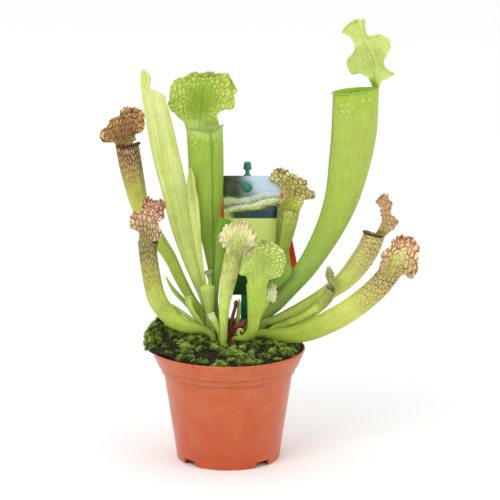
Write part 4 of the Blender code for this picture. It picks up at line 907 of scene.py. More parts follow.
@dataclass
class Leaf:
    """A pitcher, a narrow leaf or a shoot, grown along stations from the rhizome.

    stations: (x, y, z, half width) round the pot's axis. They and all lengths are in millimetres.
    """

    name: str
    finish: LeafFinish
    stations: tuple[tuple[float, float, float, float], ...]
    facing: tuple[float, float, float] = (0.0, 1.0, 0.0)
    across_scale: float = 1.0
    deep_scale: float = 0.85
    wing: float = 0.0
    hollow: float = 0.0
    lip: float = 0.8
    slant: float = 0.0
    side_slant: float = 0.0
    spout: float = 0.0
    neck_angle: float = 60.0
    hood: Hood | None = None
    ending: Ending = Ending.POINT
    row_length: float = 2.2
    ribs: int = 9
    rib_depth: float = 0.012
    wall: float = 0.6
    # Share of the way from which the tube bends to the slant of its mouth
    mouth_start: float = 0.86

    def route(self) -> tuple[Array, Array, Array, Array]:
        """Follow the stations by even steps.

        Returns:
            Points, directions, half widths and the way from the foot, row by row.
        """
        table = np.array(self.stations, float) * MM
        knots, halves = table[:, :3], table[:, 3]
        last = len(knots) - 1
        t = (np.arange(16) / 16)[:, None]
        fine = []
        for index in range(last):
            before, after = knots[max(index - 1, 0)], knots[min(index + 2, last)]
            start, end = knots[index], knots[index + 1]
            span = np.linalg.norm(end - start)
            fine.append(bent_line(t, start, end, unit(end - before) * span, unit(after - start) * span))
        fine = np.vstack([*fine, knots[-1:]])
        widths = smooth_curve(halves[:, None], 16)[:, 0]
        way = way_along(fine)
        rows = int(np.clip(round(way[-1] / (self.row_length * MM)), 20, 120))
        even = np.linspace(0, way[-1], rows + 1)
        points = np.stack([np.interp(even, way, fine[:, axis]) for axis in range(3)], axis=1)
        return points, unit(np.gradient(points, axis=0)), np.interp(even, way, widths), even

    def angles(self) -> tuple[Array, Array]:
        """Angles round a section: the front with its keel at 90 degrees, then the back under the hood."""
        neck = math.radians(self.neck_angle)
        widest = max(station[3] for station in self.stations)
        front_count = int(np.clip(round(widest * 2.6) * 2, 20, 44))
        back_count = self.hood.columns if self.hood else front_count // 2
        t = np.linspace(-1, 1, front_count + 1)
        front = KEEL_ANGLE + (math.pi - neck) * (0.45 * t + 0.55 * t**3)
        back = np.linspace(MIDRIB_ANGLE - neck, MIDRIB_ANGLE + neck, back_count + 1)[1:-1]
        return front, back

    def rings(
        self, route: tuple[Array, ...], angles: Array, shrink: float = 0.0,
    ) -> Array:
        """Lay sections along the route.

        Args:
            route: Points, directions, half widths and way.
            angles: Angles round each section.
            shrink: How far inside the outer skin, in metres.

        Returns:
            Array (rows, angles, 3).
        """
        points, tangents, halves, way = route
        facing = np.array(self.facing, float)
        front = unit(facing - tangents * (tangents @ facing)[:, None])
        side = unit(np.cross(front, tangents))
        share = (way / way[-1])[:, None]
        rib = 1 + self.rib_depth * np.sin(self.ribs * angles + 1.3)[None, :] * smooth_step(0.15, 0.4, share)
        across = (halves * self.across_scale)[:, None] * rib - shrink
        deep = (halves * self.deep_scale)[:, None] * rib - shrink
        if shrink == 0.0 and self.wing:
            width = 0.0009 / np.maximum(halves, 0.001)[:, None]
            ridge = np.exp(-((angles[None, :] - KEEL_ANGLE) / width) ** 2)
            ends = smooth_step(0.15, 0.35, share) * (1 - smooth_step(0.93, 1.0, share))
            lift = self.wing * MM * ridge * ends
        else:
            lift = 0.0
        return (
            points[:, None, :] + side[:, None, :] * (across * np.cos(angles)[None, :])[..., None]
            + front[:, None, :] * (deep * np.sin(angles)[None, :] + lift)[..., None]
        )

    def mouth_shift(self, tangent: Array, angles: Array) -> Array:
        """How far the mouth's rim rises or dips at each angle, as vectors."""
        drop = self.slant * np.sin(angles) + self.side_slant * np.cos(angles)
        drop = drop - self.spout * np.exp(-(((angles - KEEL_ANGLE) / 0.65) ** 2))
        return MM * drop[:, None] * tangent[None, :]

    def build(self, shift: Vector) -> Piece:
        """Build the leaf.

        Args:
            shift: From the pot's axis to its place in the frame.

        Returns:
            The finished object.
        """
        route = self.route()
        way = route[3]
        front, back = self.angles()
        angles = np.concatenate([front, back])
        outer = self.rings(route, angles)
        tangent = route[1][-1]
        outer_fade = smooth_step(self.mouth_start, 1.0, way / way[-1])[:, None, None]
        outer = outer + self.mouth_shift(tangent, angles)[None] * outer_fade

        # The map's seam lies on the side that the viewer can't see
        radius = float(np.max(route[2])) * (self.across_scale + self.deep_scale) / 2
        middle = len(way) * 2 // 3
        seam = int(np.argmax(outer[middle, :, 1]))
        order = np.concatenate([np.arange(seam, len(angles)), np.arange(0, seam + 1)])
        round_way = np.mod(angles[order] - angles[seam], 2 * math.pi)
        round_way[-1] = 2 * math.pi
        skin = Skin(self.name)
        flat = np.stack(np.meshgrid(round_way * radius, way), axis=-1)
        rise = np.broadcast_to((way / way[-1])[:, None], flat.shape[:2])
        keel = np.exp(-(((angles[order] - KEEL_ANGLE) / 0.07) ** 2))[None, :] * smooth_step(0.1, 0.3, rise)
        keel = keel if self.wing else 0.0
        # The strip left of the keel, which the finish darkens as painted shade
        from_keel = KEEL_ANGLE - angles[order]
        aside = (smooth_step(0.04, 0.14, from_keel) * (1 - smooth_step(1.5, 2.2, from_keel)))[None, :]
        skin.add_sheet(outer[:, order], flat, rise=rise, keel=keel, aside=aside * smooth_step(0.1, 0.3, rise))
        foot = np.broadcast_to(route[0][0], outer[0, order].shape)
        skin.add_sheet(np.stack([foot, outer[0, order]]), flat[:2] * 0.0, rise=0.0)
        if self.hood:
            self.add_mouth(skin, route, front, back, outer, radius, seam)
        else:
            self.add_end(skin, route, outer[-1, order], flat[-1])
        return skin.sew(self.finish.material(), shift)

    def add_end(self, skin: Skin, route: tuple[Array, ...], ring: Array, flat: Array) -> None:
        """Close the tip of a leaf without a hood.

        Args:
            skin: The leaf's skin.
            route: Points, directions, half widths and way.
            ring: Its last section.
            flat: The map along that section.
        """
        centre, tangent, half = route[0][-1], route[1][-1], float(route[2][-1])
        steps = {
            Ending.POINT: ((0.0, 0.35, 0.0),),
            Ending.CUT: ((1.0, 0.02, 1.0), (0.8, -0.10, 1.0), (0.0, -0.15, 1.0)),
            Ending.ROUND_MOUTH: (
                (1.18, 0.10, 0.4), (1.20, 0.30, 1.0), (1.02, 0.42, 1.0), (0.80, 0.25, 0.6), (0.72, -0.5, 0.0),
                (0.0, -1.4, 0.0),
            ),
        }[self.ending]
        rows = [ring]
        lips = [0.0]
        for share, rise, lip in steps:
            rows.append(centre + (ring - centre) * share + tangent * rise * half)
            lips.append(lip)
        repeated = np.broadcast_to(flat, (len(rows), *flat.shape))
        lip_rows = np.broadcast_to(np.array(lips)[:, None], (len(rows), len(ring)))
        skin.add_sheet(np.stack(rows), repeated, rise=1.0, lip=lip_rows)

    def add_mouth(
        self, skin: Skin, route: tuple[Array, ...], front: Array, back: Array,
        outer: Array, radius: float, seam: int,
    ) -> None:
        """Add the cavity, the rolled lip and the hood.

        Args:
            skin: The leaf's skin.
            route: Points, directions, half widths and way.
            front: Angles of the front.
            back: Angles of the back.
            outer: Sections of the outer skin.
            radius: Radius that the map is measured with.
            seam: Index of the angle where the map's seam lies.
        """
        points, tangents, _, way = route
        angles = np.concatenate([front, back])
        first = int(len(way) * (1 - self.hollow))
        part = tuple(item[first:] for item in route)
        inner = self.rings(part, angles, shrink=self.wall * MM)
        fade = smooth_step(self.mouth_start, 1.0, part[3] / way[-1])[:, None, None]
        inner = inner + self.mouth_shift(tangents[-1], angles)[None] * fade
        floor = np.broadcast_to(points[first], inner[0].shape)
        cavity = np.concatenate([floor[None], inner])
        closed = np.concatenate([cavity, cavity[:, :1]], axis=1)
        way_in = np.concatenate([part[3][:1], part[3]])
        around = np.append(angles, angles[0] + 2 * math.pi) * radius
        flat = np.stack(np.meshgrid(around, way_in), axis=-1)
        share = way_in / way[-1]
        # Inside, the colour of the tube's middle, turning pale like the neck near the mouth: painted light in
        # the throat
        inside_rise_painted_light = np.minimum(share, 0.55) + 0.46 * smooth_step(0.85, 1.0, share)
        skin.add_sheet(closed, flat, rise=np.broadcast_to(inside_rise_painted_light[:, None], flat.shape[:2]))

        # The lip rolls outward round the front and runs out at the neck
        count = len(front)
        rim, inside = outer[-1], inner[-1]
        t = np.linspace(0, 1, count)
        roll = (self.lip * MM * 0.55 + 1e-9) * smooth_step(0.0, 0.14, t) * smooth_step(0.0, 0.14, 1 - t)
        outward = unit(rim[:count] - inside[:count])
        up = tangents[-1][None, :]
        centre = rim[:count] + outward * roll[:, None] * 0.55
        rows = [inside[:count]]
        for bend in np.radians((10, 40, 70, 100, 130, 160, 190, 220, 245)):
            rows.append(centre + roll[:, None] * (-math.cos(bend) * outward + math.sin(bend) * up))
        rows.append(rim[:count])
        lip_map = np.stack(np.meshgrid(front * radius, way[-1] + np.linspace(0, 0.002, len(rows))), axis=-1)
        lips = np.ones((len(rows), count)) * smooth_step(0.0, 0.1, t) * smooth_step(0.0, 0.1, 1 - t)
        lips[0] = 0.0
        lips[-1] = 0.35
        skin.add_sheet(np.stack(rows), lip_map, rise=1.0, lip=lips)
        self.add_hood(skin, rim, inside, count, way[-1], radius, angles, seam)

    def add_hood(
        self, skin: Skin, rim: Array, inside: Array, count: int, length: float, radius: float,
        angles: Array, seam: int,
    ) -> None:
        """Add both faces of the hood and its margin.

        Args:
            skin: The leaf's skin.
            rim: Outer rim.
            inside: Inner rim.
            count: How many points of the rim belong to the front.
            length: Length of the tube.
            radius: Radius that the map is measured with.
            angles: Angles round the rim.
            seam: Index of the angle where the map's seam lies.
        """
        hood = self.hood
        line = np.concatenate([[count - 1], np.arange(count, len(rim)), [0]])
        left_edge = hood.edges()[0][0]
        start_gap = np.linalg.norm(rim[line[0]] - left_edge)
        if np.linalg.norm(rim[line[-1]] - left_edge) < start_gap:
            line = line[::-1]
        facing = np.array(self.facing, float)
        face, normals, across, up, margin, spine = hood.sheet(rim[line], facing)
        back = face + normals * hood.thickness * MM
        back[0] = inside[line]
        width = float(np.max(np.linalg.norm(face[:, -1] - face[:, 0], axis=1))) * 0.5
        neck = max(math.radians(self.neck_angle) * radius, 0.25 * width)
        start = 0.9 * neck
        rows_reach = 0.5 * np.linalg.norm(face[:, -1] - face[:, 0], axis=1)[:, None]
        out = across * np.maximum(rows_reach, neck * (1 - up))
        far = np.hypot(out, spine[:, None] + start)
        angle = np.arctan2(out, spine[:, None] + start)
        middle = float(np.mod(MIDRIB_ANGLE - angles[seam], 2 * math.pi)) * radius
        turned = 1.0 if np.mod(angles[line[-1]] - MIDRIB_ANGLE, 2 * math.pi) < math.pi else -1.0
        spread = np.sqrt(far / start)
        flat = np.stack([middle + turned * angle * start * spread, length + far - start], axis=-1)
        fan = np.stack([middle + turned * angle * start, length + far - start], axis=-1)
        rise = 1 + up
        wide = far / start
        # The dark line along the midrib is painted shade of the fold, carried by the keel value
        line = hood.midrib_fold_shade * np.exp(-((across / 0.03) ** 2)) * (1 - 0.6 * up)
        skin.add_sheet(face, flat, fan, rise=rise, margin=margin, spread=wide, keel=line)
        skin.add_sheet(back, flat, fan, rise=rise, margin=margin, spread=wide, keel=line)
        for cut in ((slice(None), 0), (slice(None), -1), (-1, slice(None))):
            pair = np.stack([face[cut], back[cut]])
            skin.add_sheet(
                pair, np.stack([flat[cut]] * 2), np.stack([fan[cut]] * 2), rise=np.stack([rise[cut]] * 2),
                margin=np.ones(pair.shape[:2]), spread=np.stack([wide[cut]] * 2),
            )


@dataclass
class UnopenedLeaf:
    """A pitcher that hasn't opened: flat like a blade, with a twisted tip.

    rows: (left across, left down, right across, right down, depth in millimetres), from the foot to the tip.
    """

    name: str
    finish: LeafFinish
    rows: tuple[tuple[float, ...], ...]
    thickness: float = 0.40
    top_row: int = 10
    columns: int = 60

    def build(self, shift: Vector) -> Piece:
        """Build the leaf.

        Args:
            shift: From the pot's axis to its place in the frame.

        Returns:
            The finished object.
        """
        table = np.array(self.rows, float)
        left = VIEWER.seen(table[:, 0], table[:, 1], table[:, 4])
        right = VIEWER.seen(table[:, 2], table[:, 3], table[:, 4])
        share = np.arange(len(table))
        flatness = self.thickness * (1 - 0.86 * smooth_step(self.top_row - 2, self.top_row, share))
        knots = np.hstack([(left + right) / 2, (right - left) / 2, flatness[:, None]])
        fine = smooth_curve(knots, 7)
        centre, half, flatness = fine[:, :3], fine[:, 3:6], fine[:, 6]
        way = way_along(centre)
        angles = np.linspace(0, 2 * math.pi, self.columns + 1) + math.pi / 2
        width = np.linalg.norm(half, axis=1)
        front = unit(np.cross(half, np.gradient(centre, axis=0)))
        rib = 1 + 0.05 * np.sin(11 * angles) + 0.03 * np.sin(17 * angles + 1.0)
        deep = (width * flatness)[:, None] * (np.sin(angles) * rib)[None, :]
        points = (
            centre[:, None, :] + half[:, None, :] * np.cos(angles)[None, :, None]
            + front[:, None, :] * deep[..., None]
        )
        radius = float(width.max()) * 0.75
        flat = np.stack(np.meshgrid((angles - math.pi / 2) * radius, way), axis=-1)
        skin = Skin(self.name)
        rise = np.broadcast_to((way / way[-1])[:, None], flat.shape[:2])
        skin.add_sheet(points, flat, rise=rise)
        for row in (0, -1):
            end = np.broadcast_to(centre[row], points[row].shape)
            skin.add_sheet(np.stack([points[row], end]), flat[:2], rise=rise[row][None, :] + np.zeros((2, 1)))
        return skin.sew(self.finish.material(), shift)


def turned_mesh(profile: Sequence[tuple[float, float]], sides: int) -> bmesh.types.BMesh:
    """Turn (radius, height) points round +Z.

    Args:
        profile: Points from the axis out and back to the axis.
        sides: How many sides the turning has.

    Returns:
        A closed bmesh.
    """
    built = bmesh.new()
    ring = [built.verts.new((radius, 0.0, height)) for radius, height in profile]
    edges = [built.edges.new(pair) for pair in zip(ring, ring[1:])]
    bmesh.ops.spin(
        built, geom=ring + edges, cent=(0, 0, 0), axis=(0, 0, 1), angle=2 * math.pi, steps=sides,
        use_merge=True,
    )
    bmesh.ops.remove_doubles(built, verts=built.verts[:], dist=1e-6)
    bmesh.ops.recalc_face_normals(built, faces=built.faces[:])
    return built


def object_from(name: str, built: bmesh.types.BMesh, angle: float = 35.0) -> Piece:
    """Make a smooth object from a bmesh and free the bmesh.

    Args:
        name: The object's name.
        built: Its mesh.
        angle: Edges sharper than this stay sharp, in degrees.

    Returns:
        The object.
    """
    mesh = bpy.data.meshes.new(name)
    built.to_mesh(mesh)
    built.free()
    mesh.shade_smooth()
    mesh.set_sharp_from_angle(angle=math.radians(angle))
    made = bpy.data.objects.new(name, mesh)
    bpy.context.collection.objects.link(made)
    return made


def rod(radius: float, length: float, sides: int, place: Vector, lying: bool = False) -> bmesh.types.BMesh:
    """Build a round rod.

    Args:
        radius: Its radius.
        length: Its length.
        sides: How many sides it has.
        place: Its middle.
        lying: Whether it lies along Y instead of standing.

    Returns:
        A closed bmesh.
    """
    built = bmesh.new()
    bmesh.ops.create_cone(built, cap_ends=True, segments=sides, radius1=radius, radius2=radius, depth=length)
    if lying:
        quarter = Matrix.Rotation(math.pi / 2, 3, "X")
        bmesh.ops.rotate(built, cent=(0, 0, 0), matrix=quarter, verts=built.verts[:])
    bmesh.ops.translate(built, vec=place, verts=built.verts[:])
    return built


def dress(piece: Piece, material: bpy.types.Material) -> Piece:
    """Give a piece one material in place of any that it has."""
    piece.data.materials.clear()
    piece.data.materials.append(material)
    return piece


def soften(piece: Piece, name: str, width: float, segments: int) -> None:
    """Bevel a piece's sharp edges.

    Args:
        piece: The piece.
        name: The modifier's name while it's there.
        width: Width of the bevel.
        segments: Its segments.
    """
    bevel = piece.modifiers.new(name, "BEVEL")
    bevel.width = width
    bevel.segments = segments
    bevel.limit_method = "ANGLE"
    bevel.angle_limit = math.radians(50)
    as_plain_mesh(piece, 40)


def as_plain_mesh(made: Piece, angle: float | None = None) -> Piece:
    """Apply an object's modifiers and remove them.

    Args:
        made: The object.
        angle: Edges sharper than this are made sharp, in degrees.

    Returns:
        The same object with a plain mesh.
    """
    evaluated = made.evaluated_get(bpy.context.evaluated_depsgraph_get())
    result = bpy.data.meshes.new_from_object(evaluated)
    made.modifiers.clear()
    made.data = result
    if angle is not None:
        result.shade_smooth()
        result.set_sharp_from_angle(angle=math.radians(angle))
    return made


def cut_with(target: Piece, tools: Iterable[Piece], operation: str = "DIFFERENCE") -> None:
    """Cut a target with tools, or join them to it, and remove the tools.

    Args:
        target: What is cut.
        tools: The cutting or joined objects.
        operation: Blender's Boolean operation.
    """
    tools = list(tools)
    for tool in tools:
        modifier = target.modifiers.new("cut", "BOOLEAN")
        modifier.operation = operation
        modifier.solver = "EXACT"
        modifier.object = tool
    bpy.context.view_layer.update()
    as_plain_mesh(target)
    for tool in tools:
        bpy.data.objects.remove(tool, do_unlink=True)


@dataclass
class Pot:
    """Thin moulded nursery pot with a tall collar, foot notches and drain holes."""

    height: float = 0.0886
    rim_radius: float = 0.060
    collar_height: float = 0.0186
    band: float = 0.0052
    collar_foot_radius: float = 0.0525
    body_top_radius: float = 0.0502
    foot_radius: float = 0.0397
    wall: float = 0.0014
    floor_underside: float = 0.004
    notches: int = 4
    notch_size: tuple[float, float] = (0.015, 0.0048)
    notch_first: float = math.radians(-48)
    holes: int = 6
    hole_radius: float = 0.0035
    hole_circle: float = 0.024
    sides: int = 192
    finish: PotFinish = field(default_factory=PotFinish)

    def inner_radius(self, height: float) -> float:
        """Inner radius of the wall at a height."""
        foot = self.height - self.collar_height
        if height < foot:
            return self.foot_radius + (self.body_top_radius - self.foot_radius) * height / foot - self.wall
        rise = (height - foot) / self.collar_height
        return self.collar_foot_radius + (self.rim_radius - self.collar_foot_radius) * rise - self.wall

    def profile(self) -> list[tuple[float, float]]:
        """Outline of the wall as (radius, height), from the floor's top over the rim to its underside."""
        top, foot = self.height, self.height - self.collar_height
        floor = self.floor_underside + self.wall
        rim, collar = self.rim_radius, self.collar_foot_radius
        lean = (rim - collar) / self.collar_height
        band = foot + self.band
        line = collar + self.band * lean
        return [
            (0.0, floor), (self.inner_radius(floor) - 0.0006, floor),
            (self.inner_radius(floor), floor + 0.0006),
            (self.inner_radius(foot - 0.001), foot - 0.001), (self.inner_radius(foot + 0.001), foot + 0.0015),
            (self.inner_radius(top) - 0.0001, top - 0.0010), (self.inner_radius(top) + 0.0001, top - 0.0003),
            (rim - 0.0010, top), (rim - 0.0004, top - 0.0001), (rim, top - 0.0006), (rim, top - 0.0014),
            (rim - 0.0004, top - 0.0022), (line + 0.0004, band + 0.0008), (line + 0.0002, band + 0.0003),
            (line - 0.0003, band), (line - 0.0012, band - 0.0001), (line - 0.0013, band - 0.0006),
            (collar - 0.0002, foot + 0.0008), (collar - 0.0004, foot + 0.0002),
            (collar - 0.0012, foot - 0.0001),
            (self.body_top_radius + 0.0002, foot - 0.0003), (self.body_top_radius, foot - 0.0010),
            (self.foot_radius + 0.0004, 0.0012), (self.foot_radius, 0.0004), (self.foot_radius - 0.0005, 0.0),
            (self.foot_radius - self.wall - 0.0006, 0.0), (self.foot_radius - self.wall - 0.0008, 0.0006),
            (self.foot_radius - self.wall - 0.0008, self.floor_underside), (0.0, self.floor_underside),
        ]

    def build(self, shift: Vector) -> Piece:
        """Build the pot.

        Args:
            shift: From the pot's axis to its place in the frame.

        Returns:
            The finished object.
        """
        pot = object_from("pot_shell", turned_mesh(self.profile(), self.sides))
        tools = []
        width, height = self.notch_size
        for notch in range(self.notches):
            built = bmesh.new()
            bmesh.ops.create_cube(built, size=1.0)
            bmesh.ops.scale(built, vec=(0.009, width, 2 * height), verts=built.verts[:])
            top = [vert for vert in built.verts if vert.co.z > 0]
            bmesh.ops.scale(built, vec=(1.0, 0.82, 1.0), verts=top)
            bmesh.ops.translate(built, vec=(self.foot_radius + 0.0006, 0, 0), verts=built.verts[:])
            angle = self.notch_first + notch * 2 * math.pi / self.notches
            turned = Matrix.Rotation(angle, 3, "Z")
            bmesh.ops.rotate(built, cent=(0, 0, 0), matrix=turned, verts=built.verts[:])
            tools.append(object_from("notch", built))
        for hole in range(self.holes):
            angle = (hole + 0.5) * 2 * math.pi / self.holes
            place = Vector((math.cos(angle), math.sin(angle), 0.0)) * self.hole_circle
            place.z = self.floor_underside + self.wall / 2
            tools.append(object_from("hole", rod(self.hole_radius, 4 * self.wall, 24, place)))
        cut_with(pot, tools)
        pot.data.transform(Matrix.Translation(shift))
        pot.data.shade_smooth()
        pot.data.set_sharp_from_angle(angle=math.radians(32))
        foot = self.height - self.collar_height
        return dress(pot, self.finish.material(self.height, foot, self.band, shift.x))


@dataclass
class Label:
    """Printed plastic card that hangs on the stake's peg."""

    front: float = 0.0362
    thickness: float = 0.0008
    bottom: float = 0.121
    top: float = 0.217
    top_edge: tuple[float, float] = (-0.0086, 0.043)
    bottom_edge: tuple[float, float] = (-0.0050, 0.057)
    top_corners: tuple[float, float] = (0.005, 0.014)
    bottom_corner: float = 0.010
    panel_top: float = 0.1829
    foot_top: float = 0.138
    stripe: float = 0.0040
    stripe_top: float = 0.2035
    hole: tuple[float, float, float] = (0.0148, 0.2085, 0.0024)
    finish: CardFinish = field(default_factory=CardFinish)

    def edge_line(
        self, height: Socket, recipe: Recipe, axis_x: float, side: int,
    ) -> Socket:
        """X of a side edge at a height, as nodes.

        Args:
            height: Height socket.
            recipe: The material in work.
            axis_x: X of the pot's axis.
            side: -1 for the left edge, 1 for the right one.

        Returns:
            The socket.
        """
        index = 0 if side < 0 else 1
        slope = (self.top_edge[index] - self.bottom_edge[index]) / (self.top - self.bottom)
        start = self.bottom_edge[index] - slope * self.bottom + axis_x
        return recipe.maths("ADD", recipe.maths("MULTIPLY", height, slope), start)

    def outline(self) -> list[tuple[float, float]]:
        """Corner arcs of the card in (x, z), anticlockwise from the lower left."""
        corners = (
            (self.bottom_edge[0], self.bottom, self.bottom_corner, 180),
            (self.bottom_edge[1], self.bottom, self.bottom_corner, 270),
            (self.top_edge[1], self.top, self.top_corners[1], 0),
            (self.top_edge[0], self.top, self.top_corners[0], 90),
        )
        middle_x = sum(self.top_edge) / 2
        middle_z = (self.top + self.bottom) / 2
        outline = []
        for x, z, radius, start in corners:
            inward_x = radius if x < middle_x else -radius
            inward_z = radius if z < middle_z else -radius
            for step in range(17):
                angle = math.radians(start + 90 * step / 16)
                outline.append(
                    (x + inward_x + radius * math.cos(angle), z + inward_z + radius * math.sin(angle))
                )
        return outline

    def build(self, shift: Vector) -> Piece:
        """Build the card.

        Args:
            shift: From the pot's axis to its place in the frame.

        Returns:
            The finished object.
        """
        built = bmesh.new()
        face = built.faces.new([built.verts.new((x, self.front, z)) for x, z in self.outline()])
        extruded = bmesh.ops.extrude_face_region(built, geom=[face])
        moved = [item for item in extruded["geom"] if isinstance(item, bmesh.types.BMVert)]
        bmesh.ops.translate(built, vec=(0, self.thickness, 0), verts=moved)
        bmesh.ops.recalc_face_normals(built, faces=built.faces[:])
        card = object_from("label_print", built)
        x, z, radius = self.hole
        hole = rod(radius, 12 * self.thickness, 32, Vector((x, self.front, z)), lying=True)
        cut_with(card, [object_from("peg_hole", hole)])
        soften(card, "soft edge", 0.00015, 2)
        card.data.transform(Matrix.Translation(shift))
        return dress(card, self.finish.material(self, shift.x))


@dataclass
class Stake:
    """Moulded stake: a flat bar, a peg with a ball that the card hangs on, and a plug on top."""

    depth: float = 0.040
    width: float = 0.0062
    thickness: float = 0.0022
    foot: tuple[float, float] = (0.0117, 0.047)
    shoulder: tuple[float, float] = (0.0150, 0.2175)
    peg_height: float = 0.2085
    peg_radius: float = 0.0016
    knob_radius: float = 0.0040
    knob_front: float = 0.0320
    plug_height: float = 0.0062
    finish: StakeFinish = field(default_factory=StakeFinish)

    def axis(self, height: float) -> float:
        """X of the stake's middle at a height."""
        (x0, z0), (x1, z1) = self.foot, self.shoulder
        return x0 + (x1 - x0) * (height - z0) / (z1 - z0)

    def bar(self) -> Piece:
        """Build the flat bar, pointed at the foot."""
        built = bmesh.new()
        rings = []
        foot, top = self.foot[1], self.shoulder[1]
        for height, share in ((foot, 0.25), (foot + 0.010, 1.0), (top - 0.001, 1.0), (top, 0.7)):
            x = self.axis(height)
            rings.append([
                built.verts.new((x + a * self.width / 2 * share, self.depth + b * self.thickness / 2, height))
                for a, b in ((-1, -1), (1, -1), (1, 1), (-1, 1))
            ])
        for lower, upper in zip(rings, rings[1:]):
            for index in range(4):
                other = (index + 1) % 4
                built.faces.new((lower[index], lower[other], upper[other], upper[index]))
        built.faces.new(rings[0][::-1])
        built.faces.new(rings[-1])
        bmesh.ops.recalc_face_normals(built, faces=built.faces[:])
        return object_from("stake_moulding", built)

    def build(self, shift: Vector) -> Piece:
        """Build the stake.

        Args:
            shift: From the pot's axis to its place in the frame.

        Returns:
            The finished object.
        """
        stake = self.bar()
        peg_x = self.axis(self.peg_height)
        middle = Vector((peg_x, (self.depth + self.knob_front) / 2, self.peg_height))
        peg = rod(self.peg_radius, self.depth - self.knob_front, 28, middle, lying=True)
        ball = bmesh.new()
        bmesh.ops.create_uvsphere(ball, u_segments=40, v_segments=24, radius=self.knob_radius)
        bmesh.ops.translate(ball, vec=(peg_x, self.knob_front, self.peg_height), verts=ball.verts[:])
        top = self.shoulder[1]
        peak = top + 0.0098
        profile = [
            (0.0, peak - 0.0004), (0.0014, peak), (0.0023, peak - 0.0001), (0.0027, peak - 0.0006),
            (0.0034, peak - self.plug_height + 0.0012), (0.0034, peak - self.plug_height + 0.0006),
            (0.0028, peak - self.plug_height), (0.0018, peak - self.plug_height - 0.0002),
            (0.0017, peak - self.plug_height - 0.0010), (0.0017, top - 0.003), (0.0, top - 0.003),
        ]
        plug = turned_mesh(profile, 40)
        bmesh.ops.translate(plug, vec=(self.axis(top), self.depth, 0.0), verts=plug.verts[:])
        pieces = [object_from(name, mesh) for name, mesh in (("peg", peg), ("ball", ball), ("plug", plug))]
        cut_with(stake, pieces, "UNION")
        soften(stake, "moulded edge", 0.0004, 3)
        stake.data.transform(Matrix.Translation(shift))
        return dress(stake, self.finish.material())


